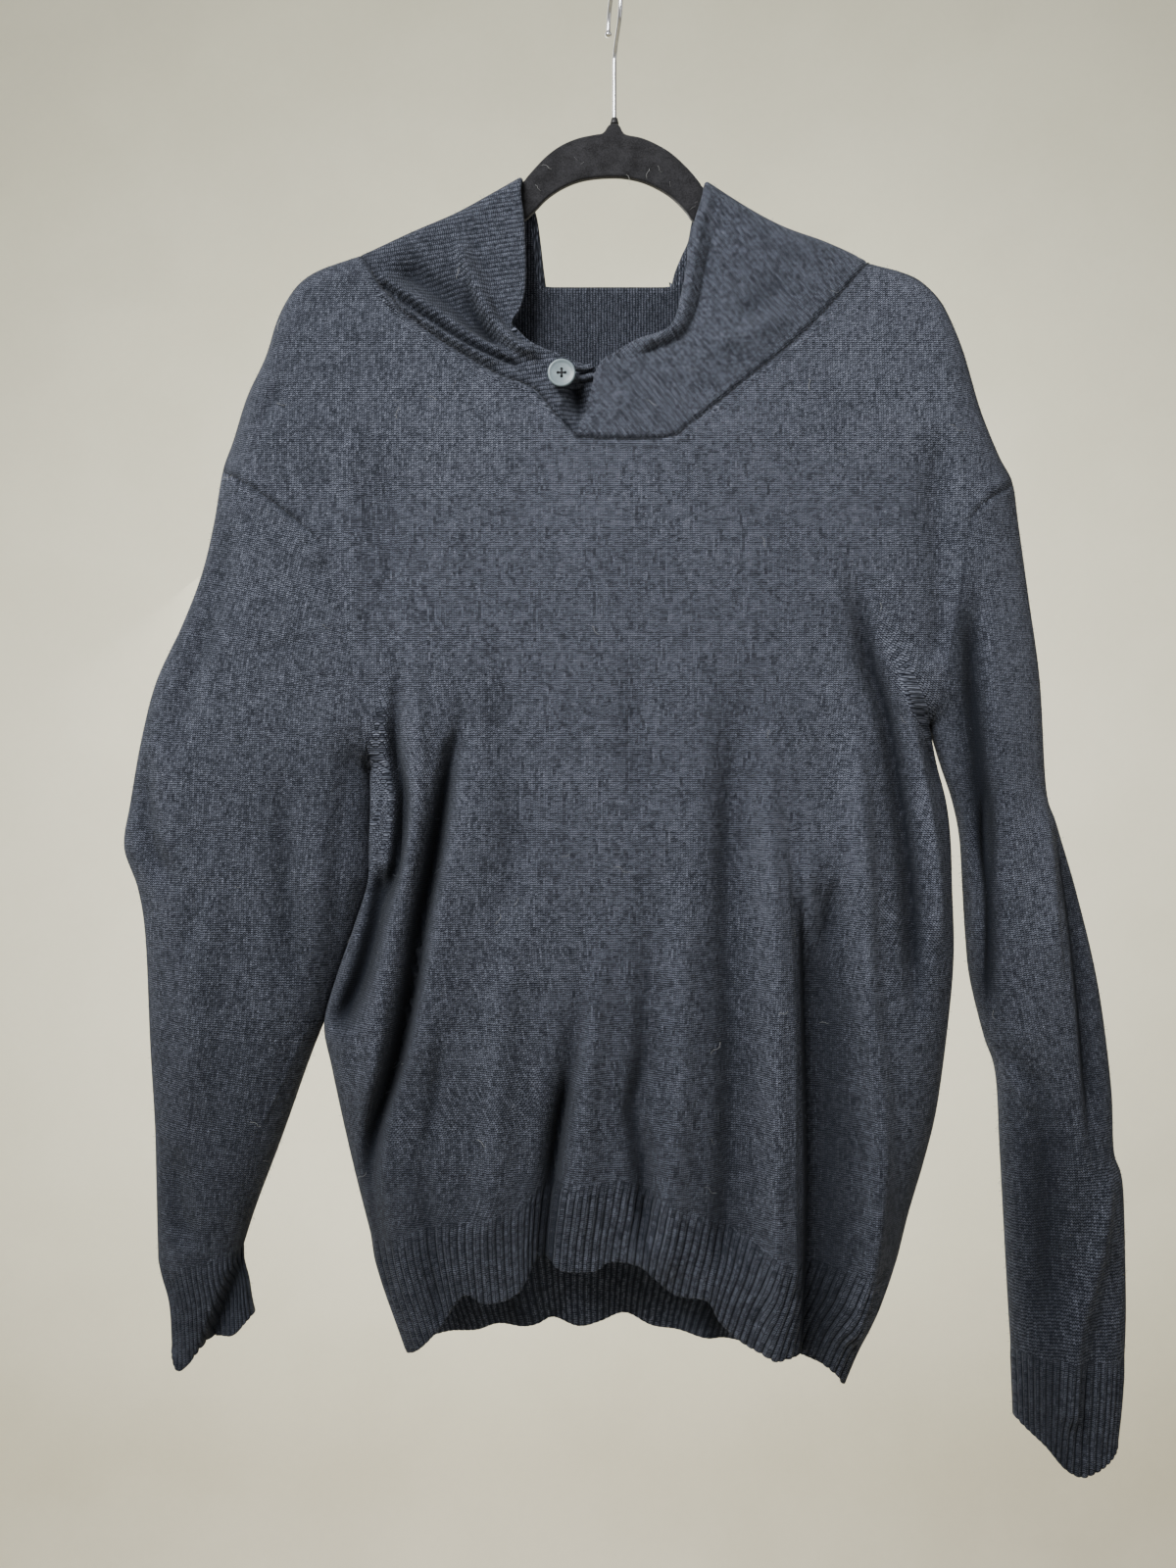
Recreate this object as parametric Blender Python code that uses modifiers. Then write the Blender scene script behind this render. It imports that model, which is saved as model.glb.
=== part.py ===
"""A men's shawl collar sweater in fine dark knit, hanging on a thin flocked hanger with a wire hook.

Sizes are in millimetres and become metres when a mesh is made. x runs across the hanger to the
viewer's right, y away from the viewer and z up. The origin is the inside top of the hook, where a rail
or a nail carries it. The hanger lies in the plane y = 0, and so do the side edges of every piece of
cloth, because each piece rounds back to that plane at its outline.

Each panel is a wall. Its grid of (x, z) points lies between four seams or edges, its depth comes from
the tables of depths and folds, and its inner face is the outer one moved in by the knit's thickness.
"""

import math

import bmesh
import bpy
import numpy as np

MM = 0.001

# Thicknesses and gaps
SEAM_GAP = 0.3
COLLAR_SEAM = 0.9
RIB_SEAM = 0.35
ARMPIT_GAP = 0.9
KNIT = 2.4
RIB_KNIT = 2.6
RIB_HEIGHT = 1.0
COLLAR_BAND = 4.4
LEAST_DEPTH = 6.0
ON_EDGE = 0.5
SLOPE_STEP = 0.8

# Outlines, seen from the front. Each row is (x, z), from the collar's corner down to the cuff.
COLLAR_TOP_LEFT = [(-63, -129), (-84, -141), (-106, -153), (-136, -166), (-168, -181)]
COLLAR_TOP_RIGHT = [(62, -132), (90, -150), (113, -162), (138, -171), (158, -180), (168, -186)]
SHOULDER_LEFT = [(-168, -181), (-180, -185), (-196, -191), (-208, -199), (-217, -211), (-224, -226),
                 (-231, -249), (-243, -275), (-252, -304), (-259, -324)]
SHOULDER_RIGHT = [(168, -186), (187, -191), (201, -197), (213, -208), (221, -221), (231, -246),
                  (242, -284), (254, -314), (263, -332)]
SLEEVE_OUTER_LEFT = [(-259, -324), (-265, -359), (-273, -392), (-286, -426), (-303, -463), (-313, -503),
                     (-320, -543), (-324, -572), (-315, -599), (-310, -632), (-307, -702), (-304, -753),
                     (-303, -793), (-302, -836), (-301, -848)]
SLEEVE_OUTER_RIGHT = [(263, -332), (267, -360), (274, -410), (281, -463), (285, -533), (292, -556),
                      (304, -596), (319, -660), (328, -728), (330, -772), (336, -795), (338, -868),
                      (337, -907)]
SLEEVE_INNER_LEFT = [(-162, -521), (-160, -541), (-160, -566), (-160, -591), (-166, -610), (-173, -632),
                     (-181, -655), (-191, -684), (-202, -712), (-220, -763), (-237, -808), (-246, -836)]
SLEEVE_INNER_RIGHT = [(208, -491), (216, -517), (224, -541), (229, -566), (231, -599), (233, -632),
                      (236, -660), (245, -697), (253, -723), (256, -777), (261, -870), (263, -902)]
SIDE_LEFT = [(-162, -521), (-157, -545), (-154, -570), (-155, -595), (-163, -625), (-176, -660),
             (-188, -692), (-184, -718), (-179, -753), (-170, -791), (-161, -826)]
SIDE_RIGHT = [(208, -491), (213, -517), (219, -541), (222, -566), (223, -599), (224, -640),
              (221, -680), (213, -740), (204, -777), (194, -810), (186, -841)]
HEM_SIDE_LEFT = [(-161, -826), (-158, -842), (-152, -862), (-143, -887), (-138, -901)]
HEM_SIDE_RIGHT = [(186, -841), (180, -858), (173, -876), (161, -900), (151, -924)]

# Seams and free edges that lie within the outline. Each row is (x, z).
ARMHOLE_LEFT = [(-259, -324), (-247, -331), (-232, -340), (-213, -354), (-194, -370), (-186, -381),
                (-183, -400), (-175, -423), (-170, -451), (-163, -493), (-162, -521)]
ARMHOLE_RIGHT = [(263, -332), (254, -338), (240, -347), (231, -356), (227, -369), (222, -403),
                 (216, -441), (210, -470), (208, -491)]
NECK_LEFT = [(-168, -181), (-161, -192), (-153, -204), (-144, -216), (-133, -227), (-104, -248),
             (-75, -265), (-53, -274), (-38, -292), (-24, -307)]
NECK_RIGHT = [(-24, -307), (-3, -308), (20, -308), (38, -306), (46, -300), (61, -288), (85, -268),
              (110, -248), (126, -233), (142, -216), (156, -200), (168, -186)]
NECK_BACK = [(-168, -181), (-150, -204), (-120, -229), (-80, -246), (-40, -254), (0, -256), (40, -254),
             (80, -247), (120, -232), (150, -208), (168, -186)]
COLLAR_EDGE_LEFT = [(-63, -129), (-61, -145), (-58, -160), (-57, -180), (-57, -196), (-58, -213),
                    (-64, -226), (-66, -233), (-56, -243), (-43, -250), (-24, -256), (-11, -260)]
COLLAR_EDGE_RIGHT = [(-13, -265), (-9, -257), (-3, -253), (8, -246), (17, -241), (31, -237),
                     (39, -228), (44, -208), (47, -192), (48, -178), (53, -160), (62, -132)]
COLLAR_END_LEFT = [(-11, -260), (-11, -280), (-11, -303)]
COLLAR_END_RIGHT = [(-13, -265), (-15, -275), (-18, -286), (-22, -300), (-24, -307)]
COLLAR_FOLD = [(-63, -129), (-54, -146), (-50, -162), (-46, -177), (-38, -189), (-26, -195), (-10, -197),
               (5, -197), (20, -195), (31, -189), (39, -178), (44, -165), (51, -151), (62, -132)]
FALL_EDGE = [(-80, -150), (-90, -178), (-92, -205), (-78, -235), (-42, -250), (0, -254), (40, -251),
             (76, -238), (91, -208), (89, -180), (79, -153)]
RIB_TOP_FRONT = [(-161, -826), (-153, -825), (-140, -819), (-116, -811), (-83, -805), (-57, -795), (-45, -785),
                 (-6, -782), (7, -782), (27, -793), (46, -801), (76, -815), (107, -830), (138, -839),
                 (165, -841), (186, -841)]
RIB_TOP_BACK = [(-161, -826), (-150, -826), (-128, -834), (-96, -842), (0, -839), (80, -848), (140, -850),
                (172, -842), (186, -841)]
HEM_EDGE_FRONT = [(-138, -901), (-125, -889), (-111, -873), (-101, -858), (-94, -853), (-82, -859),
                  (-63, -853), (-52, -836), (-46, -832), (-34, -838), (-13, -838), (-4, -832),
                  (13, -834), (23, -841), (38, -853), (58, -857), (66, -870), (81, -884), (97, -891),
                  (109, -890), (125, -898), (140, -908), (147, -915), (151, -924)]
HEM_EDGE_BACK = [(-138, -901), (-126, -905), (-96, -903), (-79, -897), (-54, -895), (-42, -892),
                 (-25, -899), (-10, -897), (9, -892), (27, -899), (48, -901), (78, -907), (110, -915),
                 (151, -924)]
CUFF_OUTER_LEFT = [(-301, -848), (-294, -872), (-292, -902)]
CUFF_INNER_LEFT = [(-246, -836), (-246, -846), (-243, -858), (-241, -871), (-239, -880)]
CUFF_EDGE_LEFT = [(-292, -902), (-285, -911), (-277, -906), (-266, -894), (-250, -889), (-239, -880)]
CUFF_OUTER_RIGHT = [(337, -907), (335, -938), (332, -965)]
CUFF_INNER_RIGHT = [(263, -902), (264, -925), (265, -948)]
CUFF_EDGE_RIGHT = [(265, -948), (279, -959), (291, -973), (302, -979), (312, -976), (332, -965)]

# How far the cloth stands in front of and behind the hanger's plane, and how wide its edges round.
# Each row is (z, front, back, reach of the rounding).
BODY_DEPTHS = [(-120, 10, 10, 10), (-200, 14, 12, 14), (-250, 20, 14, 22), (-300, 26, 16, 32),
               (-400, 27, 18, 38), (-521, 30, 20, 40), (-700, 36, 24, 40), (-840, 40, 26, 34),
               (-930, 38, 25, 28)]
SLEEVE_DEPTHS = [(-300, 26, 16, 32), (-400, 27, 18, 38), (-521, 30, 20, 40), (-620, 27, 19, 38),
                 (-760, 24, 18, 34), (-850, 20, 15, 26), (-990, 20, 15, 24)]

# The folds that show. Each row is (height, half width, path): a height above 0 is a ridge that stands
# out, one below 0 a valley, and the path's points are (x, z).
FRONT_FOLDS = [
    (-15, 13, [(-103, -483), (-107, -525), (-118, -575), (-127, -640), (-138, -705), (-149, -745)]),
    (7, 12, [(-126, -432), (-127, -509), (-137, -586), (-150, -651)]),
    (-9, 12, [(-21, -581), (-41, -663), (-49, -715), (-52, -775), (-53, -835)]),
    (-6, 12, [(13, -599), (10, -663), (6, -745)]),
    (5, 14, [(-70, -620), (-85, -700), (-90, -800), (-95, -855)]),
    (-7, 12, [(59, -509), (64, -586), (72, -663), (70, -766), (68, -860)]),
    (8, 13, [(85, -509), (99, -586), (104, -663), (106, -741), (104, -830), (102, -890)]),
    (-20, 13, [(126, -600), (131, -680), (134, -760), (133, -850), (131, -900)]),
    (7, 13, [(154, -586), (166, -663), (168, -730), (160, -800)]),
    (-7, 13, [(154, -413), (163, -460), (172, -512)]),
    (6, 12, [(170, -450), (184, -495), (193, -535)]),
]
BACK_FOLDS = [
    (6, 18, [(-110, -480), (-112, -620), (-118, -760), (-112, -900)]),
    (-8, 16, [(-62, -560), (-58, -700), (-60, -900)]),
    (6, 18, [(-8, -520), (0, -680), (4, -900)]),
    (-8, 16, [(58, -540), (64, -700), (62, -900)]),
    (7, 18, [(118, -470), (128, -640), (122, -800), (112, -905)]),
    (-6, 15, [(172, -560), (176, -680), (160, -830)]),
]
SLEEVE_LEFT_FOLDS = [
    (-8, 13, [(-190, -560), (-205, -640), (-222, -720), (-238, -790)]),
    (6, 16, [(-262, -560), (-266, -660), (-272, -760)]),
    (-7, 14, [(-290, -565), (-262, -590), (-230, -600)]),
    (-13, 9, [(-240, -820), (-248, -845), (-256, -870), (-258, -895)]),
]
SLEEVE_RIGHT_FOLDS = [
    (-9, 11, [(237, -500), (245, -545), (248, -600)]),
    (-11, 11, [(291, -545), (300, -640), (306, -720), (310, -790)]),
    (8, 12, [(328, -790), (322, -840), (312, -880), (306, -905)]),
    (-7, 12, [(272, -690), (280, -760), (284, -830)]),
]
SLEEVE_LEFT_BACK_FOLDS = [
    (-6, 14, [(-205, -570), (-222, -680), (-240, -780)]),
    (5, 15, [(-262, -600), (-268, -700), (-274, -790)]),
]
SLEEVE_RIGHT_BACK_FOLDS = [
    (-6, 12, [(252, -540), (268, -660), (284, -800)]),
    (5, 13, [(296, -640), (308, -740), (314, -850)]),
]
COLLAR_LEFT_FOLDS = [
    (5, 5.5, [(-135, -223), (-112, -236), (-90, -250), (-66, -262)]),
    (-7, 6, [(-146, -199), (-128, -207), (-108, -221), (-88, -237), (-76, -247)]),
    (4, 6, [(-103, -191), (-93, -213), (-82, -232), (-67, -246), (-48, -257)]),
]
COLLAR_RIGHT_FOLDS = [
    (3, 5, [(66, -142), (57, -165), (52, -192), (48, -212), (42, -232), (30, -241), (10, -250)]),
    (-2.5, 5, [(0, -269), (8, -265)]),
]
# The left collar end tucks in behind the right one between these two places across, by this much.
TUCK = (-37, -27, 6.4)

# How many spans each stretch of a seam is divided into. Pieces that meet share these points.
ARMHOLE_SPANS = 10
FRONT_SIDE_SPANS = 10
BACK_SIDE_SPANS = 8
# Shares of the shoulder from the neck to the armhole: closer where it turns down over the arm's end.
SHOULDER_STEPS = (0, 0.07, 0.15, 0.24, 0.34, 0.48, 0.66, 0.83, 0.94, 1)
NECK_LEFT_SPANS = 9
NECK_RIGHT_SPANS = 11
NECK_BACK_SPANS = 8
# Shares of a neck seam's length that are added close to the shoulder, where the cloth turns over the arm.
NEAR_SHOULDER = (0, 0.015, 0.038, 0.07, 0.11)
COLLAR_ROWS = 6
SLEEVE_ROWS = 15
# The shares of the front's and back's width and height that their seams take up.
SHOULDER_SHARE = 0.20
ARMHOLE_SHARE = 0.36
NECK_LEFT_SHARE = 0.43
HEM_ROWS = 2
HEM_RIBS = 50
CUFF_RIBS_EACH_SIDE = 14
CUFF_ROWS = 2
# The collar's fall leaves this share of the fold free at each end.
FALL_MARGIN = 0.14
FALL_ROWS = 4
ROLL_STEPS = 4
ROLL_RADIUS = 1.0
# A grid's four corners, each with its neighbour along the same row.
ROW_ENDS = [((0, 0), (0, 1)), ((0, -1), (0, -2)), ((-1, 0), (-1, 1)), ((-1, -1), (-1, -2))]

# The hanger: rows of (distance from its middle, height of its top edge) for the arch that shows.
HANGER_THICKNESS = 5.5
HANGER_ROUNDING = 1.2
ARCH_MIDDLE = -2.5
ARCH = [(9.5, -99.5), (18.5, -101), (31, -106), (43.5, -116), (53.5, -129.5)]
ARCH_BAND = 28
ARM_BAND = 20
UNDER_COLLAR = COLLAR_BAND + 1.5
UNDER_KNIT = KNIT + 1.6
KNOB_HALF_WIDTH = 6
KNOB_TOP = -92.5
ARM_SPANS = 6

# The hook, and the grommet that it leaves the hanger through
WIRE = 3.3
HOOK_INNER = 40
HOOK_TURN = 10
STEM_FOOT = KNOB_TOP + SEAM_GAP
STEM_TOP = -52
BALL = 4.8
GROMMET_OUTER = 8.4
GROMMET_HEIGHT = 4.5
HOOK_STEPS = 15

# The button on the left collar end, and the cord loop that holds it
BUTTON = 18
BUTTON_THICK = 3.2
BUTTON_AT = (-34.5, -267)
BUTTON_RIM = 1.6
BUTTON_DISH = 0.7
HOLE = 1.9
HOLE_SPACING = 4.2
SHANK = 1.8
LOOP_CORD = 3.8
LOOP_SPREAD = 6.4
LOOP_REACH = (-14.8, -262)

DARK_KNIT = (0.085, 0.094, 0.117)
DARK_RIB = (0.070, 0.078, 0.098)
FLOCK = (0.030, 0.032, 0.035)
CHROME = (0.75, 0.76, 0.78)
BUTTON_GREY = (0.30, 0.36, 0.38)


def spline(points, per_span=8):
    """A smooth line through these points, as many short straight steps."""
    knots = np.array(points, float)
    before = 2 * knots[0] - knots[1]
    after = 2 * knots[-1] - knots[-2]
    knots = np.vstack([before, knots, after])
    t = np.linspace(0, 1, per_span, endpoint=False)[:, None]
    spans = []
    for a, b, c, d in zip(knots, knots[1:], knots[2:], knots[3:]):
        bend = (c - a) * t + (2 * a - 5 * b + 4 * c - d) * t**2 + (3 * b - a - 3 * c + d) * t**3
        spans.append(b + bend / 2)
    return np.vstack(spans + [knots[-2:-1]])


def along(line, shares):
    """The points at these shares of a line's length."""
    steps = np.linalg.norm(np.diff(line, axis=0), axis=1)
    lengths = np.concatenate([[0], np.cumsum(steps)]) / steps.sum()
    return np.column_stack([np.interp(shares, lengths, line[:, k]) for k in range(2)])


def shares(spans):
    """Even shares from 0 to 1."""
    return np.linspace(0, 1, spans + 1)


def eased(spans, ends=1.0):
    """Shares from 0 to 1 that lie closer together towards both ends."""
    even = shares(spans)
    return (1 - ends) * even + ends * (1 - np.cos(np.pi * even)) / 2


def from_shoulder(spans):
    """Shares of a neck seam that starts at the shoulder: close together there, then even."""
    near = np.array(NEAR_SHOULDER)
    return np.concatenate([near, near[-1] + (1 - near[-1]) * shares(spans)[1:]])


def both_shoulders():
    """Shares of the back neck seam, from one shoulder to the other."""
    near = np.array(NEAR_SHOULDER)
    middle = near[-1] + (1 - 2 * near[-1]) * shares(NECK_BACK_SPANS)
    return np.concatenate([near[:-1], middle, 1 - near[-2::-1]])


def nearest(points, line):
    """How far each point is from a line, and the line's direction there."""
    start = line[:-1]
    step = np.diff(line, axis=0)
    offset = points[:, None] - start
    share = np.clip((offset * step).sum(2) / (step**2).sum(1), 0, 1)
    gap = np.linalg.norm(offset - share[..., None] * step, axis=2)
    closest = gap.argmin(1)
    direction = step[closest] / np.linalg.norm(step[closest], axis=1)[:, None]
    return gap.min(1), direction


def column(table, place, z):
    """One column of a table of depths, read at these heights."""
    rows = np.array(sorted(table), float)
    return np.interp(z, rows[:, 0], rows[:, place])


class Side:
    """One face of a piece: its depth over each (x, z), rounded back to the hanger's plane at its outlines.

    facing is -1 in front and 1 behind. outlines has rows of (line, hand): hand is -1 for an outline on
    the left of its piece and 1 for one on the right.
    """

    def __init__(self, facing, depths, outlines, folds, tuck=None):
        self.facing = facing
        self.depths = depths
        self.outlines = outlines
        self.folds = [(height, width, spline(path)) for height, width, path in folds]
        self.tuck = tuck

    def depth(self, points):
        z = points[:, 1]
        place = 1 if self.facing < 0 else 2
        out = column(self.depths, place, z)
        for height, width, path in self.folds:
            gap, _ = nearest(points, path)
            out = out + height * np.exp(-((gap / width) ** 2))
        if self.tuck:
            start, end, amount = self.tuck
            share = np.clip((points[:, 0] - start) / (end - start), 0, 1)
            out = out - amount * share**2 * (3 - 2 * share)
        out = np.maximum(out, LEAST_DEPTH)
        for line, _ in self.outlines:
            gap, _ = nearest(points, line)
            near = np.clip(gap / column(self.depths, 3, z), 0, 1)
            out = out * np.sqrt(1 - (1 - near) ** 2)
        return self.facing * (SEAM_GAP / 2 + out)

    def place(self, points):
        return np.column_stack([points[:, 0], self.depth(points), points[:, 1]])

    def outward(self, points):
        """The unit normals that point away from the cloth's inside."""
        x_step = np.array([SLOPE_STEP, 0])
        z_step = np.array([0, SLOPE_STEP])
        x_slope = (self.depth(points + x_step) - self.depth(points - x_step)) / (2 * SLOPE_STEP)
        z_slope = (self.depth(points + z_step) - self.depth(points - z_step)) / (2 * SLOPE_STEP)
        normal = np.column_stack([-x_slope, np.ones(len(points)), -z_slope]) * self.facing
        for line, hand in self.outlines:
            gap, direction = nearest(points, line)
            across = np.column_stack([-direction[:, 1], np.zeros(len(points)), direction[:, 0]]) * hand
            normal = np.where((gap < ON_EDGE)[:, None], across, normal)
        return normal / np.linalg.norm(normal, axis=1)[:, None]


def patch(top, bottom, left, right, us, vs, hold=1):
    """A grid of (x, z) points between four edges that are given as their points at us or vs.

    A higher hold keeps the bends of the left and right edges closer to those edges.
    """
    u = us[None, :, None]
    v = vs[:, None, None]
    grid = (1 - v) * top[None] + v * bottom[None]
    for edge, share in ((left, (1 - u) ** hold), (right, u**hold)):
        straight = edge[0] + vs[:, None] * (edge[-1] - edge[0])
        grid = grid + share * (edge - straight)[:, None]
    return grid


def drawn_in(edge, neighbour, amount=SEAM_GAP * 0.7):
    """An edge's points, moved towards the next row so that a seam stays open by a hair."""
    step = neighbour - edge
    return edge + amount * step / np.linalg.norm(step, axis=-1, keepdims=True)


def mesh_object(name, verts, faces, material):
    mesh = bpy.data.meshes.new(name)
    mesh.from_pydata([tuple(v * MM) for v in verts], [], faces)
    body = bmesh.new()
    body.from_mesh(mesh)
    bmesh.ops.recalc_face_normals(body, faces=body.faces)
    body.to_mesh(mesh)
    body.free()
    mesh.shade_smooth()
    mesh.set_sharp_from_angle(angle=math.radians(50))
    mesh.materials.append(material)
    obj = bpy.data.objects.new(name, mesh)
    parts.objects.link(obj)
    return obj


def wall(name, outer, inner, material, closed=False):
    """A closed wall between an outer and an inner grid of points. A closed one joins round, as a tube."""
    rows, cols = outer.shape[:2]
    verts = np.vstack([outer.reshape(-1, 3), inner.reshape(-1, 3)])
    below = rows * cols
    turns = cols if closed else cols - 1
    faces = []
    for r in range(rows - 1):
        for c in range(turns):
            a = r * cols + c
            b = r * cols + (c + 1) % cols
            faces.append((a, b, b + cols, a + cols))
            faces.append((below + a + cols, below + b + cols, below + b, below + a))
    for c in range(turns):
        d = (c + 1) % cols
        faces.append((d, c, below + c, below + d))
        low = (rows - 1) * cols
        faces.append((low + c, low + d, below + low + d, below + low + c))
    if not closed:
        for r in range(rows - 1):
            a = r * cols
            faces.append((a, a + cols, below + a + cols, below + a))
            b = a + cols - 1
            faces.append((b + cols, b, below + b, below + b + cols))
    return mesh_object(name, verts, faces, material)


def ribbed(outer, normals):
    """Every second column of a grid's outer points, raised as a rib."""
    raised = outer.copy()
    raised[:, 1::2] += RIB_HEIGHT * normals[:, 1::2]
    return raised


def along_seams(normals, grid, corners):
    """Where a seam ends at the outline, the wall's thickness runs along the seam, on both its sides."""
    for place, neighbour in corners:
        step = grid[place] - grid[neighbour]
        normals[place] = np.array([step[0], 0, step[1]]) / np.linalg.norm(step)
    return normals


def panel(name, side, grid, thickness, material, ribs=False, corners=ROW_ENDS):
    """A wall of cloth over a grid of (x, z) points."""
    rows, cols = grid.shape[:2]
    flat = grid.reshape(-1, 2)
    outer = side.place(flat).reshape(rows, cols, 3)
    normals = along_seams(side.outward(flat).reshape(rows, cols, 3), grid, corners)
    inner = outer - thickness * normals
    if ribs:
        outer = ribbed(outer, normals)
    return wall(name, outer, inner, material)


def tube(name, front, back, grid, thickness, material, ribs=False):
    """A flattened tube of cloth whose front and back meet at both edges of the grid."""
    rows, cols = grid.shape[:2]
    halves = []
    for side in (front, back):
        flat = grid.reshape(-1, 2)
        outer = side.place(flat).reshape(rows, cols, 3)
        outer[:, [0, -1], 1] = 0
        normals = along_seams(side.outward(flat).reshape(rows, cols, 3), grid, ROW_ENDS)
        halves.append((outer, normals))
    (front_outer, front_normals), (back_outer, back_normals) = halves
    outer = np.concatenate([front_outer, back_outer[:, -2:0:-1]], axis=1)
    normals = np.concatenate([front_normals, back_normals[:, -2:0:-1]], axis=1)
    inner = outer - thickness * normals
    if ribs:
        outer = ribbed(outer, normals)
    return wall(name, outer, inner, material, closed=True)


def material(name, colour, roughness, metallic=0.0):
    finish = bpy.data.materials.new(name)
    finish.use_nodes = True
    shader = finish.node_tree.nodes["Principled BSDF"]
    shader.inputs["Base Color"].default_value = (*colour, 1)
    shader.inputs["Roughness"].default_value = roughness
    shader.inputs["Metallic"].default_value = metallic
    finish.diffuse_color = (*colour, 1)
    return finish


def make_body(name, side, neck, neck_shares, rib_top, side_spans):
    """The front or the back: shoulders and neck above it, armholes and side seams beside it.

    Gives back the shares across its bottom edge, which the hem rib's top edge follows.
    """
    shoulder = np.array(SHOULDER_STEPS)
    left_shoulder = along(spline(SHOULDER_LEFT), shoulder)[::-1]
    right_shoulder = along(spline(SHOULDER_RIGHT), shoulder)
    top = np.vstack([left_shoulder, neck[1:], right_shoulder[1:]])
    us = np.concatenate([
        SHOULDER_SHARE * (1 - shoulder[::-1]),
        SHOULDER_SHARE + (1 - 2 * SHOULDER_SHARE) * neck_shares[1:],
        1 - SHOULDER_SHARE * (1 - shoulder[1:]),
    ])
    arm = eased(ARMHOLE_SPANS)
    down = shares(side_spans)
    left = np.vstack([along(spline(ARMHOLE_LEFT), arm), along(spline(SIDE_LEFT), down)[1:]])
    right = np.vstack([along(spline(ARMHOLE_RIGHT), arm), along(spline(SIDE_RIGHT), down)[1:]])
    vs = np.concatenate([ARMHOLE_SHARE * arm, ARMHOLE_SHARE + (1 - ARMHOLE_SHARE) * down[1:]])
    grid = patch(top, along(spline(rib_top), us), left, right, us, vs, hold=5)

    notches = (len(shoulder) - 1, len(us) - len(shoulder))
    neckline = slice(notches[0], notches[1] + 1)
    grid[0, neckline] = drawn_in(grid[0, neckline], grid[1, neckline])
    grid[-1] = drawn_in(grid[-1], grid[-2], RIB_SEAM)
    armpit = ARMHOLE_SPANS
    for edge, inward in ((0, 1), (-1, -2)):
        grid[:armpit, edge] = drawn_in(grid[:armpit, edge], grid[:armpit, inward])
        grid[armpit, edge] = drawn_in(grid[armpit, edge], grid[armpit, inward], ARMPIT_GAP)
    corners = [
        ((0, 0), (1, 0)),
        ((0, -1), (1, -1)),
        ((armpit, 0), (armpit - 1, 0)),
        ((armpit, -1), (armpit - 1, -1)),
        ((0, notches[0]), (0, notches[0] + 1)),
        ((0, notches[1]), (0, notches[1] - 1)),
        ((-1, 0), (-1, 1)),
        ((-1, -1), (-1, -2)),
    ]
    panel(name, side, grid, KNIT, knit, corners=corners)
    return us


def make_front(side):
    left = along(spline(NECK_LEFT), from_shoulder(NECK_LEFT_SPANS))
    right = along(spline(NECK_RIGHT), 1 - from_shoulder(NECK_RIGHT_SPANS)[::-1])
    neck_shares = np.concatenate([
        NECK_LEFT_SHARE * from_shoulder(NECK_LEFT_SPANS),
        1 - (1 - NECK_LEFT_SHARE) * from_shoulder(NECK_RIGHT_SPANS)[-2::-1],
    ])
    return make_body("front", side, np.vstack([left, right[1:]]), neck_shares, RIB_TOP_FRONT, FRONT_SIDE_SPANS)


def make_back(side):
    neck = along(spline(NECK_BACK), both_shoulders())
    return make_body("back", side, neck, both_shoulders(), RIB_TOP_BACK, BACK_SIDE_SPANS)


def make_hem(name, side, rib_top, panel_us, edge):
    """A ribbed band. Its top edge lies on the straight steps of the panel's bottom edge."""
    us = shares(2 * HEM_RIBS)
    vs = shares(HEM_ROWS)
    steps = along(spline(rib_top), panel_us)
    grid = patch(
        np.column_stack([np.interp(us, panel_us, steps[:, k]) for k in range(2)]),
        along(spline(edge), us),
        along(spline(HEM_SIDE_LEFT), vs),
        along(spline(HEM_SIDE_RIGHT), vs),
        us,
        vs,
    )
    grid[0] = drawn_in(grid[0], grid[1], RIB_SEAM)
    panel(name, side, grid, RIB_KNIT, rib, ribs=True)


def make_sleeve(name, front, back, armhole, left, right, flip):
    """A sleeve tube from its armhole seam to the cuff. flip is set on the viewer's right."""
    us = eased(ARMHOLE_SPANS)
    vs = shares(SLEEVE_ROWS)
    top = along(spline(armhole), us)
    if flip:
        top = top[::-1]
    left_edge = along(spline(left), vs)
    right_edge = along(spline(right), vs)
    bottom = left_edge[-1] + us[:, None] * (right_edge[-1] - left_edge[-1])
    grid = patch(top, bottom, left_edge, right_edge, us, vs)
    grid[0] = drawn_in(grid[0], grid[1])
    grid[-1] = drawn_in(grid[-1], grid[-2], RIB_SEAM)
    tube(name, front, back, grid, KNIT, knit)


def make_cuff(name, front, back, left, right, edge):
    us = eased(2 * CUFF_RIBS_EACH_SIDE, 0.5)
    vs = shares(CUFF_ROWS)
    left_edge = along(spline(left), vs)
    right_edge = along(spline(right), vs)
    top = left_edge[0] + us[:, None] * (right_edge[0] - left_edge[0])
    grid = patch(top, along(spline(edge), us), left_edge, right_edge, us, vs)
    grid[0] = drawn_in(grid[0], grid[1], RIB_SEAM)
    tube(name, front, back, grid, RIB_KNIT, rib, ribs=True)


def make_collar_left(side):
    neck = along(spline(NECK_LEFT), from_shoulder(NECK_LEFT_SPANS))
    end = np.array(COLLAR_END_LEFT[-1], float)
    bottom = np.vstack([neck, (neck[-1] + end) / 2, end])
    lengths = np.concatenate([[0], np.cumsum(np.linalg.norm(np.diff(bottom, axis=0), axis=1))])
    us = lengths / lengths[-1]
    vs = shares(COLLAR_ROWS)
    grid = patch(
        along(spline(COLLAR_EDGE_LEFT), us),
        bottom,
        along(spline(COLLAR_TOP_LEFT), vs),
        along(spline(COLLAR_END_LEFT), vs),
        us,
        vs,
    )
    grid[-1] = drawn_in(grid[-1], grid[-2], COLLAR_SEAM)
    panel("collar_left", side, grid, COLLAR_BAND, knit)


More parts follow.
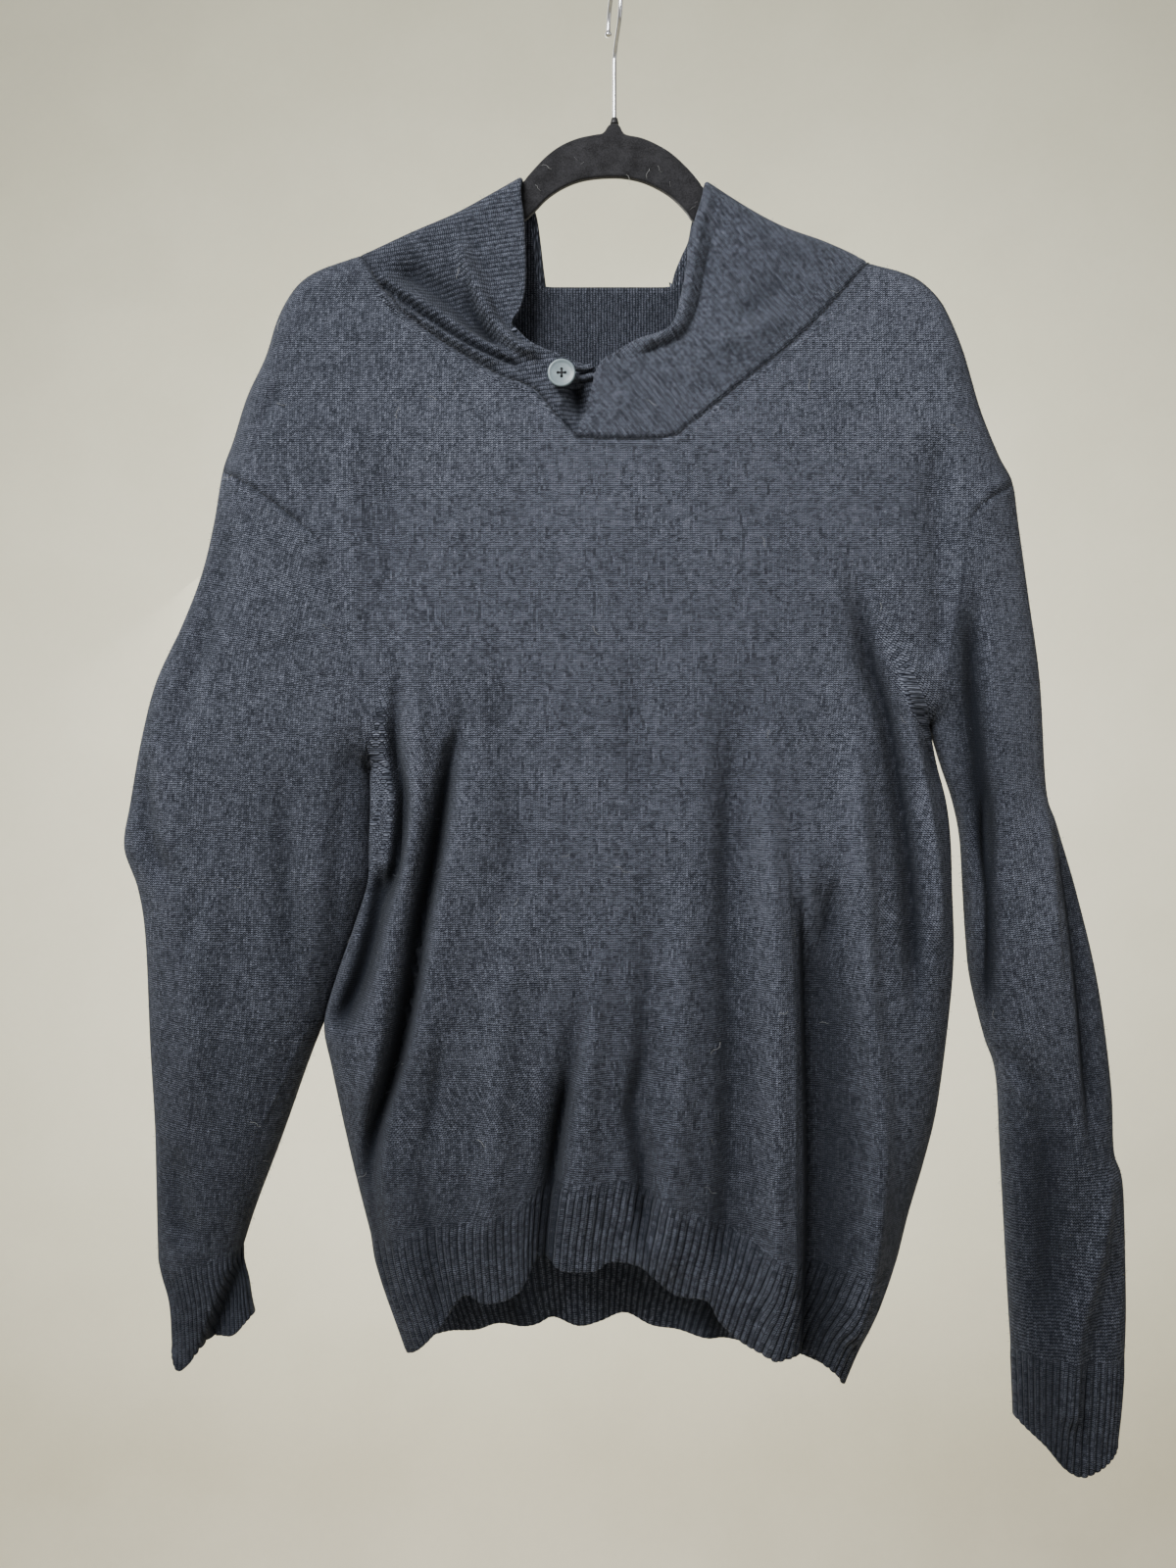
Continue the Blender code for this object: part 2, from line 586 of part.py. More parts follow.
def make_collar_right(side):
    us = 1 - from_shoulder(NECK_RIGHT_SPANS)[::-1]
    vs = shares(COLLAR_ROWS)
    grid = patch(
        along(spline(COLLAR_EDGE_RIGHT), us),
        along(spline(NECK_RIGHT), us),
        along(spline(COLLAR_END_RIGHT), vs),
        along(spline(COLLAR_TOP_RIGHT), vs),
        us,
        vs,
    )
    grid[-1] = drawn_in(grid[-1], grid[-2], COLLAR_SEAM)
    panel("collar_right", side, grid, COLLAR_BAND, knit)


def collar_back_shares():
    """Shares round the back collar: those of the neck seam, and the places half-way between them."""
    steps = both_shoulders()
    return np.sort(np.concatenate([steps, (steps[1:] + steps[:-1]) / 2]))


def make_collar_back(side):
    us = collar_back_shares()
    vs = shares(COLLAR_ROWS)
    steps = both_shoulders()
    seam = along(spline(NECK_BACK), steps)
    grid = patch(
        along(spline(COLLAR_FOLD), us),
        np.column_stack([np.interp(us, steps, seam[:, k]) for k in range(2)]),
        along(spline(COLLAR_TOP_LEFT), vs),
        along(spline(COLLAR_TOP_RIGHT), vs),
        us,
        vs,
    )
    grid[-1] = drawn_in(grid[-1], grid[-2], COLLAR_SEAM)
    panel("collar_back", side, grid, COLLAR_BAND, knit)


def make_collar_fall(stand):
    """The turned-over part of the collar: it rolls over the back collar's top edge and hangs behind it."""
    hinge = spline(COLLAR_FOLD)
    us = collar_back_shares()
    us = us[(us > FALL_MARGIN) & (us < 1 - FALL_MARGIN)]
    top = along(hinge, us)
    _, direction = nearest(top, hinge)
    up = np.column_stack([-direction[:, 1], np.zeros(len(top)), direction[:, 0]])
    outer_radius = ROLL_RADIUS + COLLAR_BAND
    centre = stand.place(top) + np.array([0, ROLL_RADIUS, 0]) + SEAM_GAP * up
    behind = np.array([0, 1, 0])
    outer_rows = []
    inner_rows = []
    for angle in np.linspace(0, math.pi, ROLL_STEPS + 1):
        turn = -math.cos(angle) * behind + math.sin(angle) * up
        outer_rows.append(centre + outer_radius * turn)
        inner_rows.append(centre + ROLL_RADIUS * turn)
    free = along(spline(FALL_EDGE), shares(len(us) - 1))
    lift = 2 * ROLL_RADIUS
    for share in shares(FALL_ROWS)[1:]:
        points = top + share * (free - top)
        hang = stand.place(points)
        hang[:, 1] = centre[:, 1] + ROLL_RADIUS + share * (stand.depth(points) - stand.depth(top))
        hang[:, 1] = np.maximum(hang[:, 1], stand.depth(points) + lift)
        inner_rows.append(hang)
        outer_rows.append(hang + COLLAR_BAND * behind)
    wall("collar_fall", np.array(outer_rows), np.array(inner_rows), knit)


def hanger_edge(hand):
    """The top edge of one half of the hanger, from its middle to the arm's end."""
    arch = [(ARCH_MIDDLE + hand * x, z) for x, z in ARCH]
    collar, shoulder = (COLLAR_TOP_LEFT, SHOULDER_LEFT) if hand < 0 else (COLLAR_TOP_RIGHT, SHOULDER_RIGHT)
    outline = spline(collar)
    carried = []
    for line, drop, first, last in ((outline, UNDER_COLLAR, 0.04, 0.96), (spline(shoulder), UNDER_KNIT, 0.04, 0.2)):
        points = along(line, np.linspace(first, last, ARM_SPANS))
        _, direction = nearest(points, line)
        carried.extend(points - hand * drop * np.column_stack([-direction[:, 1], direction[:, 0]]))
    return np.vstack([arch, carried])


def flat_plate(name, outline, thickness, rounding, finish):
    """A flat outline of (x, z) points that stands in the plane y = 0, with rounded edges."""
    curve = bpy.data.curves.new(name, "CURVE")
    curve.dimensions = "2D"
    curve.fill_mode = "BOTH"
    curve.extrude = (thickness / 2 - rounding) * MM
    curve.bevel_depth = rounding * MM
    curve.bevel_resolution = 0
    curve.offset = -rounding * MM
    line = curve.splines.new("POLY")
    line.points.add(len(outline) - 1)
    for point, (x, z) in zip(line.points, outline):
        point.co = (x * MM, z * MM, 0, 1)
    line.use_cyclic_u = True
    curve.materials.append(finish)
    obj = bpy.data.objects.new(name, curve)
    obj.rotation_euler.x = math.pi / 2
    parts.objects.link(obj)
    return obj


def make_hanger():
    left = hanger_edge(-1)
    right = hanger_edge(1)
    knob = np.array([(-KNOB_HALF_WIDTH, KNOB_TOP), (KNOB_HALF_WIDTH, KNOB_TOP)], float)
    top = np.vstack([left[::-1], knob, right])
    lower = []
    for half, hand in ((right, 1), (left, -1)):
        step = np.gradient(half, axis=0)
        step /= np.linalg.norm(step, axis=1)[:, None]
        down = hand * np.column_stack([step[:, 1], -step[:, 0]])
        band = np.interp(np.arange(len(half)), [0, len(ARCH), len(half) - 1], [ARCH_BAND, ARCH_BAND - 3, ARM_BAND])
        below = half + band[:, None] * down
        keep = below[::2] if hand < 0 else below[::-2]
        end = half[-1] + 0.5 * band[-1] * down[-1] + 0.35 * band[-1] * step[-1]
        lower.append(np.vstack([end, keep]) if hand > 0 else np.vstack([keep, end]))
    flat_plate("hanger", np.vstack([top] + lower), HANGER_THICKNESS, HANGER_ROUNDING, flock)


def wire(name, points, diameter, finish, radii=None, resolution=2):
    """A round wire or cord along these points."""
    curve = bpy.data.curves.new(name, "CURVE")
    curve.dimensions = "3D"
    curve.bevel_depth = diameter / 2 * MM
    curve.bevel_resolution = resolution
    curve.use_fill_caps = True
    line = curve.splines.new("POLY")
    line.points.add(len(points) - 1)
    for k, (point, place) in enumerate(zip(line.points, points)):
        point.co = (*(np.array(place) * MM), 1)
        point.radius = radii[k] if radii else 1
    curve.materials.append(finish)
    obj = bpy.data.objects.new(name, curve)
    parts.objects.link(obj)
    return obj


def make_hook():
    """A straight stem, then a round hook turned square to the hanger, open at the back."""
    radius = (HOOK_INNER + WIRE) / 2
    middle = -HOOK_INNER / 2
    path = [(0, STEM_FOOT), (0, STEM_TOP)]
    path += [(-1.2, STEM_TOP + 4.5), (-4.5, STEM_TOP + 8.5)]
    for angle in np.radians(np.linspace(28, 268, HOOK_STEPS)):
        path.append((-radius * math.sin(angle), middle - radius * math.cos(angle)))
    y, z = path[-1]
    swell = BALL / WIRE
    path += [(y, z - 0.8), (y, z - 2.6), (y, z - 3.6)]
    radii = [1.0] * (len(path) - 3) + [swell, swell, 0.6]
    turn = math.radians(HOOK_TURN)
    points = [(-y * math.sin(turn), y * math.cos(turn), z) for y, z in path]
    wire("hook", points, WIRE, chrome, radii)


def turned(name, profile, steps, finish):
    """A ring or disc turned round the z axis from a closed profile of (radius, z) points."""
    mesh = bpy.data.meshes.new(name)
    count = len(profile)
    edges = [(k, (k + 1) % count) for k in range(count)]
    mesh.from_pydata([(r * MM, 0, z * MM) for r, z in profile], edges, [])
    mesh.materials.append(finish)
    obj = bpy.data.objects.new(name, mesh)
    parts.objects.link(obj)
    screw = obj.modifiers.new("Turn", "SCREW")
    screw.steps = steps
    screw.render_steps = steps
    screw.use_merge_vertices = True
    screw.merge_threshold = 0.00001
    return obj


def make_grommet():
    bore = WIRE / 2 + SEAM_GAP
    outer = GROMMET_OUTER / 2
    low = KNOB_TOP + SEAM_GAP
    high = low + GROMMET_HEIGHT
    profile = [(bore, high), (outer - 1, high), (outer, high - 1.2), (outer, low), (bore, low)]
    turned("grommet", profile, 12, flock)


def clear_depth(collar, x, z, reach):
    """How near to the viewer the collar comes within this reach of a point."""
    turn = np.linspace(0, 2 * math.pi, 13)
    ring = np.array([x, z]) + reach * np.column_stack([np.cos(turn), np.sin(turn)])
    return collar.depth(ring).min()


def make_button(seat):
    """A dished disc with a raised rim and four holes, held off the collar by its shank and the loop."""
    radius = BUTTON / 2
    back = LOOP_CORD + 5 * SEAM_GAP
    front = back + BUTTON_THICK
    profile = [(0, back), (0, front - BUTTON_DISH), (radius - BUTTON_RIM - 0.6, front - BUTTON_DISH),
               (radius - BUTTON_RIM, front), (radius - 0.6, front), (radius, front - 0.8),
               (radius - 0.4, back + 0.7), (radius - 2.4, back)]
    mesh = bpy.data.meshes.new("button")
    mesh.from_pydata([(r * MM, 0, z * MM) for r, z in profile], [(k, k + 1) for k in range(7)] + [(7, 0)], [])
    mesh.materials.append(button_grey)
    obj = bpy.data.objects.new("button", mesh)
    parts.objects.link(obj)
    screw = obj.modifiers.new("Turn", "SCREW")
    screw.steps = 24
    screw.render_steps = 24
    screw.use_merge_vertices = True
    screw.merge_threshold = 0.00001
    obj.location = (BUTTON_AT[0] * MM, seat * MM, BUTTON_AT[1] * MM)
    obj.rotation_euler.x = math.pi / 2
    for k in range(4):
        angle = math.radians(45 + 90 * k)
        x = BUTTON_AT[0] + HOLE_SPACING / math.sqrt(2) * math.cos(angle)
        z = BUTTON_AT[1] + HOLE_SPACING / math.sqrt(2) * math.sin(angle)
        bpy.ops.mesh.primitive_cylinder_add(
            vertices=8,
            radius=HOLE / 2 * MM,
            depth=4 * BUTTON_THICK * MM,
            location=(x * MM, (seat - back - BUTTON_THICK / 2) * MM, z * MM),
            rotation=(math.pi / 2, 0, 0),
        )
        drill = bpy.context.object
        drill.name = f"drill_{k}"
        drill.hide_render = True
        drill.display_type = "WIRE"
        bpy.context.collection.objects.unlink(drill)
        cutters.objects.link(drill)
        cut = obj.modifiers.new(f"Hole {k}", "BOOLEAN")
        cut.operation = "DIFFERENCE"
        cut.object = drill
    shank = LOOP_CORD + 3 * SEAM_GAP
    bpy.ops.mesh.primitive_cylinder_add(
        vertices=8,
        radius=SHANK / 2 * MM,
        depth=shank * MM,
        location=(BUTTON_AT[0] * MM, (seat - SEAM_GAP - shank / 2) * MM, BUTTON_AT[1] * MM),
        rotation=(math.pi / 2, 0, 0),
    )
    post = bpy.context.object
    post.name = "button_shank"
    post.data.materials.append(knit)
    bpy.context.collection.objects.unlink(post)
    parts.objects.link(post)


def make_loop(left, seat):
    """A knitted cord from the right collar end, round the shank and back."""
    height = seat - SEAM_GAP - LOOP_CORD / 2
    x0, z0 = BUTTON_AT
    x1, z1 = LOOP_REACH
    x1 -= SEAM_GAP
    slope = (z1 - z0) / (x1 - x0)
    half = LOOP_SPREAD / 2
    path = []
    for share in (0, 0.35, 0.7):
        x = x1 + share * (x0 - x1)
        path.append((x, z0 + slope * (x - x0) + half))
    for angle in np.radians(np.linspace(90, 270, 9)):
        path.append((x0 + half * math.cos(angle), z0 + half * math.sin(angle)))
    for share in (0.7, 0.35, 0):
        x = x1 + share * (x0 - x1)
        path.append((x, z0 + slope * (x - x0) - half))
    points = []
    for x, z in path:
        under = clear_depth(left, x, z, 0.8 * LOOP_CORD) - SEAM_GAP - LOOP_CORD / 2
        points.append((x, min(height, under) if x < x0 + 6 else under, z))
    wire("button_loop", points, LOOP_CORD, knit)


for old in list(bpy.data.objects):
    bpy.data.objects.remove(old, do_unlink=True)

parts = bpy.data.collections.new("Shawl collar sweater")
bpy.context.scene.collection.children.link(parts)
cutters = bpy.data.collections.new("Cutters")
bpy.context.scene.collection.children.link(cutters)

knit = material("Dark knit", DARK_KNIT, 0.95)
rib = material("Dark rib", DARK_RIB, 0.95)
flock = material("Black flock", FLOCK, 0.9)
chrome = material("Chrome wire", CHROME, 0.18, 1.0)
button_grey = material("Button", BUTTON_GREY, 0.35)

outline_left = spline(COLLAR_TOP_LEFT + SHOULDER_LEFT[1:] + SLEEVE_OUTER_LEFT[1:] + CUFF_OUTER_LEFT[1:])
outline_right = spline(COLLAR_TOP_RIGHT + SHOULDER_RIGHT[1:] + SLEEVE_OUTER_RIGHT[1:] + CUFF_OUTER_RIGHT[1:])
side_left = spline(SIDE_LEFT + HEM_SIDE_LEFT[1:])
side_right = spline(SIDE_RIGHT + HEM_SIDE_RIGHT[1:])
inner_left = spline(SLEEVE_INNER_LEFT + CUFF_INNER_LEFT[1:])
inner_right = spline(SLEEVE_INNER_RIGHT + CUFF_INNER_RIGHT[1:])

body_outlines = [(outline_left, -1), (outline_right, 1), (side_left, -1), (side_right, 1)]
collar_outlines = [(outline_left, -1), (outline_right, 1)]
left_arm = [(outline_left, -1), (inner_left, 1)]
right_arm = [(inner_right, -1), (outline_right, 1)]

collar_folds = COLLAR_LEFT_FOLDS + COLLAR_RIGHT_FOLDS
front_side = Side(-1, BODY_DEPTHS, body_outlines, FRONT_FOLDS + collar_folds)
back_side = Side(1, BODY_DEPTHS, body_outlines, BACK_FOLDS)
collar_left_side = Side(-1, BODY_DEPTHS, collar_outlines, collar_folds, tuck=TUCK)
collar_right_side = Side(-1, BODY_DEPTHS, collar_outlines, collar_folds)
collar_back_side = Side(1, BODY_DEPTHS, collar_outlines, [])
left_sides = [
    Side(-1, SLEEVE_DEPTHS, left_arm, SLEEVE_LEFT_FOLDS),
    Side(1, SLEEVE_DEPTHS, left_arm, SLEEVE_LEFT_BACK_FOLDS),
]
right_sides = [
    Side(-1, SLEEVE_DEPTHS, right_arm, SLEEVE_RIGHT_FOLDS),
    Side(1, SLEEVE_DEPTHS, right_arm, SLEEVE_RIGHT_BACK_FOLDS),
]

make_hem("hem_front", front_side, RIB_TOP_FRONT, make_front(front_side), HEM_EDGE_FRONT)
make_hem("hem_back", back_side, RIB_TOP_BACK, make_back(back_side), HEM_EDGE_BACK)
make_sleeve("sleeve_left", *left_sides, ARMHOLE_LEFT, SLEEVE_OUTER_LEFT, SLEEVE_INNER_LEFT, False)
make_sleeve("sleeve_right", *right_sides, ARMHOLE_RIGHT, SLEEVE_INNER_RIGHT, SLEEVE_OUTER_RIGHT, True)
make_cuff("cuff_left", *left_sides, CUFF_OUTER_LEFT, CUFF_INNER_LEFT, CUFF_EDGE_LEFT)
make_cuff("cuff_right", *right_sides, CUFF_INNER_RIGHT, CUFF_OUTER_RIGHT, CUFF_EDGE_RIGHT)
make_collar_left(collar_left_side)
make_collar_right(collar_right_side)
make_collar_back(collar_back_side)
make_collar_fall(collar_back_side)
seat_depth = clear_depth(collar_left_side, *BUTTON_AT, BUTTON / 4)
make_button(seat_depth)
make_loop(collar_left_side, seat_depth)
make_hanger()
make_grommet()
make_hook()
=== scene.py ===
"""A shawl collar sweater in fine dark knit, as it hangs on a flocked hanger.

Sizes in the tables are millimetres: x runs to the viewer's right, y away from the viewer, z up, from the
inside top of the hook. Every piece of cloth is a thin closed shell on the form of its solid.
"""

import math

import bmesh
import bpy
import numpy as np
from mathutils import Matrix, Vector


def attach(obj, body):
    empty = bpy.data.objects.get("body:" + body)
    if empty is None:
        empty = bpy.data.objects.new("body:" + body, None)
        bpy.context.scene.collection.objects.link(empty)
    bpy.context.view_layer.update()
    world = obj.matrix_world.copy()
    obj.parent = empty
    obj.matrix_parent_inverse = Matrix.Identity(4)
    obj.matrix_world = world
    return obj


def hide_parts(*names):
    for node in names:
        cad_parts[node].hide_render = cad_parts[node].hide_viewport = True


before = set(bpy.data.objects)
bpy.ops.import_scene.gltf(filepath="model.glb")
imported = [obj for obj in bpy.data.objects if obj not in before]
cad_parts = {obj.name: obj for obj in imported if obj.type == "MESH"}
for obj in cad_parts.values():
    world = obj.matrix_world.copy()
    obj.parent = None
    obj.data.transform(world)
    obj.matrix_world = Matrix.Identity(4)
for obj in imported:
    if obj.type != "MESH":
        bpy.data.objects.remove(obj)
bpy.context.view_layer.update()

MM = 0.001

# How thick the cloth is
KNIT = 1.7
RIB_KNIT = 1.9
COLLAR_BAND = 3.8

# The width and height of a stitch in each knit, and the width and height of its ribs
WALE = 1.6
COURSE = 1.35
RIB_WALE = 2.1
RIB_COURSE = 1.2
RIB_HEIGHT = 1.5
COLLAR_RIB = 3.0
COLLAR_COURSE = 1.3
BACK_COLLAR_RIB = 1.9

# Front and back stand this far from the hanger's plane where they meet, and at least this far elsewhere
SEAM = 0.05
LEAST_DEPTH = 5.0

# The space between a seam's stitches, and how far the collar's last row is drawn in from its seam
SEAM_PITCH = 4.4
NECK_TURN_IN = 0.15

# How a fold and a seam shape the cloth: the widths past which a fold isn't felt, and the seam's groove with
# the ridge beside it
FOLD_REACH = 3.2
SEAM_GROOVE, SEAM_GROOVE_WIDTH = 1.1, 1.3
SEAM_RIDGE, SEAM_RIDGE_WIDTH, SEAM_RIDGE_FROM = 0.6, 1.7, 3.4

# How much shade a trough and a seam are painted with, beside their own shadow, and how much painted light a
# ridge gets
TROUGH_PAINTED_SHADE = 0.68
TROUGH_SHADE_SPREAD = 1.2
TROUGH_SHADE_SOFTENING = 3
RIDGE_PAINTED_LIGHT_SHARE = 0.5
MOST_PAINTED_LIGHT, MOST_PAINTED_SHADE = -0.45, 0.97
SEAM_PAINTED_SHADE, SEAM_DARK_WIDTH = 0.35, 1.4
NOTCH_PAINTED_SHADE, NOTCH_WIDTH = 0.9, 2.4

# A shell's inner face takes up more than its ribs' relief, its free edges are round, and its faces look
# smooth across less than this angle
RELIEF_INSIDE = 1.3
EDGE_BULGE = 0.8
EDGE_STEPS = 4
SHARP_ANGLE = 62

# Outlines seen from the front, each row (x, z), from the collar's corner down to the cuff
COLLAR_TOP_LEFT = [(-63, -129), (-84, -141), (-106, -153), (-136, -166), (-168, -181)]
COLLAR_TOP_RIGHT = [(62, -132), (90, -150), (113, -162), (138, -171), (158, -180), (168, -186)]
SHOULDER_LEFT = [(-168, -181), (-180, -185), (-196, -191), (-208, -199), (-217, -211), (-224, -226),
                 (-231, -249), (-243, -275), (-252, -304), (-259, -324)]
SHOULDER_RIGHT = [(168, -186), (187, -191), (201, -197), (213, -208), (221, -221), (231, -246),
                  (242, -284), (254, -314), (263, -332)]
SLEEVE_OUTER_LEFT = [(-259, -324), (-265, -359), (-273, -392), (-286, -426), (-303, -463), (-313, -503),
                     (-320, -543), (-324, -572), (-315, -599), (-310, -632), (-307, -702), (-304, -753),
                     (-303, -793), (-302, -836), (-301, -848)]
SLEEVE_OUTER_RIGHT = [(263, -332), (267, -360), (274, -410), (281, -463), (285, -533), (292, -556),
                      (304, -596), (319, -660), (328, -728), (330, -772), (336, -795), (338, -868),
                      (337, -907)]
SLEEVE_INNER_LEFT = [(-162, -521), (-160, -541), (-160, -566), (-160, -591), (-166, -610), (-173, -632),
                     (-181, -655), (-191, -684), (-202, -712), (-220, -763), (-237, -808), (-246, -836)]
SLEEVE_INNER_RIGHT = [(208, -491), (216, -517), (224, -541), (229, -566), (231, -599), (233, -632),
                      (236, -660), (245, -697), (253, -723), (256, -777), (261, -870), (263, -902)]
SIDE_LEFT = [(-162, -521), (-162, -545), (-163, -570), (-164, -595), (-173, -625), (-184, -657),
             (-192, -688), (-187, -716), (-179, -753), (-170, -791), (-161, -826)]
SIDE_RIGHT = [(208, -491), (213, -517), (219, -541), (222, -566), (223, -599), (224, -640),
              (221, -680), (213, -740), (204, -777), (194, -810), (186, -841)]
HEM_SIDE_LEFT = [(-161, -826), (-158, -842), (-152, -862), (-143, -887), (-138, -901)]
HEM_SIDE_RIGHT = [(186, -841), (180, -858), (173, -876), (161, -900), (151, -924)]

# Seams and free edges within the outline, each row (x, z)
ARMHOLE_LEFT = [(-259, -324), (-247, -331), (-232, -340), (-213, -354), (-194, -370), (-186, -381),
                (-183, -400), (-175, -423), (-170, -451), (-163, -493), (-162, -521)]
ARMHOLE_RIGHT = [(263, -332), (254, -338), (240, -347), (231, -356), (227, -369), (222, -403),
                 (216, -441), (210, -470), (208, -491)]
NECK_LEFT = [(-168, -181), (-161, -192), (-153, -204), (-144, -216), (-133, -227), (-104, -248),
             (-75, -265), (-53, -274), (-38, -292), (-24, -307)]
NECK_RIGHT = [(-24, -307), (-3, -308), (20, -308), (38, -306), (46, -300), (61, -288), (85, -268),
              (110, -248), (126, -233), (142, -216), (156, -200), (168, -186)]
NECK_BACK = [(-168, -181), (-150, -204), (-120, -229), (-80, -246), (-40, -254), (0, -256), (40, -254),
             (80, -247), (120, -232), (150, -208), (168, -186)]
COLLAR_EDGE_LEFT = [(-63, -129), (-62.5, -145), (-60.5, -160), (-59.5, -180), (-59, -196), (-60, -213),
                    (-64, -226), (-66, -233), (-56, -243), (-43, -250), (-24, -256), (-11, -260)]
COLLAR_EDGE_RIGHT = [(-13, -265), (-9, -257), (-3, -253), (8, -246), (17, -241), (31, -237),
                     (39, -228), (44, -208), (47, -192), (48, -178), (53, -160), (62, -132)]
COLLAR_END_LEFT = [(-11, -260), (-11, -280), (-11, -303)]
COLLAR_END_RIGHT = [(-13, -265), (-15, -275), (-18, -286), (-22, -300), (-24, -307)]
COLLAR_FOLD = [(-63, -129), (-59.5, -141), (-56.5, -152), (-54.5, -166), (-53, -179), (-51.5, -191),
               (-50, -198.5), (-45.5, -200.7), (-30, -201), (0, -201), (25, -201), (37, -200.7),
               (42.5, -198.5), (45.5, -188), (50, -177), (54.5, -167), (57, -154), (62, -132)]
FALL_EDGE = [(-80, -150), (-90, -178), (-92, -205), (-78, -235), (-42, -250), (0, -254), (40, -251),
             (76, -238), (91, -208), (89, -180), (79, -153)]
RIB_TOP_FRONT = [(-161, -826), (-153, -825), (-140, -819), (-116, -811), (-83, -805), (-57, -795),
                 (-45, -785), (-6, -782), (7, -782), (27, -793), (46, -801), (76, -815), (107, -830),
                 (138, -839), (165, -841), (186, -841)]
RIB_TOP_BACK = [(-161, -826), (-150, -826), (-128, -834), (-96, -842), (0, -839), (80, -848), (140, -850),
                (172, -842), (186, -841)]
HEM_EDGE_FRONT = [(-138, -901), (-125, -889), (-111, -873), (-101, -858), (-94, -853), (-82, -859),
                  (-63, -853), (-52, -836), (-46, -832), (-34, -838), (-13, -838), (-4, -832),
                  (13, -834), (23, -841), (38, -853), (58, -857), (66, -870), (81, -884), (97, -891),
                  (109, -890), (125, -898), (140, -908), (147, -915), (151, -924)]
HEM_EDGE_BACK = [(-138, -901), (-126, -905), (-96, -903), (-79, -897), (-54, -895), (-42, -892),
                 (-25, -899), (-10, -897), (9, -892), (27, -899), (48, -901), (78, -907), (110, -915),
                 (151, -924)]
CUFF_OUTER_LEFT = [(-301, -848), (-294, -872), (-292, -902)]
CUFF_INNER_LEFT = [(-246, -836), (-246, -846), (-243, -858), (-241, -871), (-239, -880)]
CUFF_EDGE_LEFT = [(-292, -902), (-285, -911), (-277, -906), (-266, -894), (-250, -889), (-239, -880)]
CUFF_OUTER_RIGHT = [(337, -907), (335, -938), (332, -965)]
CUFF_INNER_RIGHT = [(263, -902), (264, -925), (265, -948)]
CUFF_EDGE_RIGHT = [(265, -948), (279, -959), (291, -973), (302, -979), (312, -976), (332, -965)]
SLEEVE_LINE_LEFT = [(-216, -340), (-238, -450), (-245, -560), (-250, -680), (-268, -800), (-274, -920)]
SLEEVE_LINE_RIGHT = [(236, -330), (248, -440), (256, -540), (272, -660), (291, -780), (300, -980)]

# Rows of (z, front, back, reach of the rounding at the outline)
BODY_DEPTHS = [(-120, 10, 10, 10), (-200, 14, 12, 14), (-250, 20, 14, 22), (-300, 26, 16, 32),
               (-400, 27, 18, 38), (-521, 30, 20, 40), (-700, 36, 24, 40), (-840, 40, 26, 34),
               (-930, 38, 25, 28)]
SLEEVE_DEPTHS = [(-300, 26, 16, 32), (-400, 27, 18, 38), (-521, 30, 20, 40), (-620, 27, 19, 38),
                 (-760, 24, 18, 34), (-850, 20, 15, 26), (-990, 20, 15, 24)]

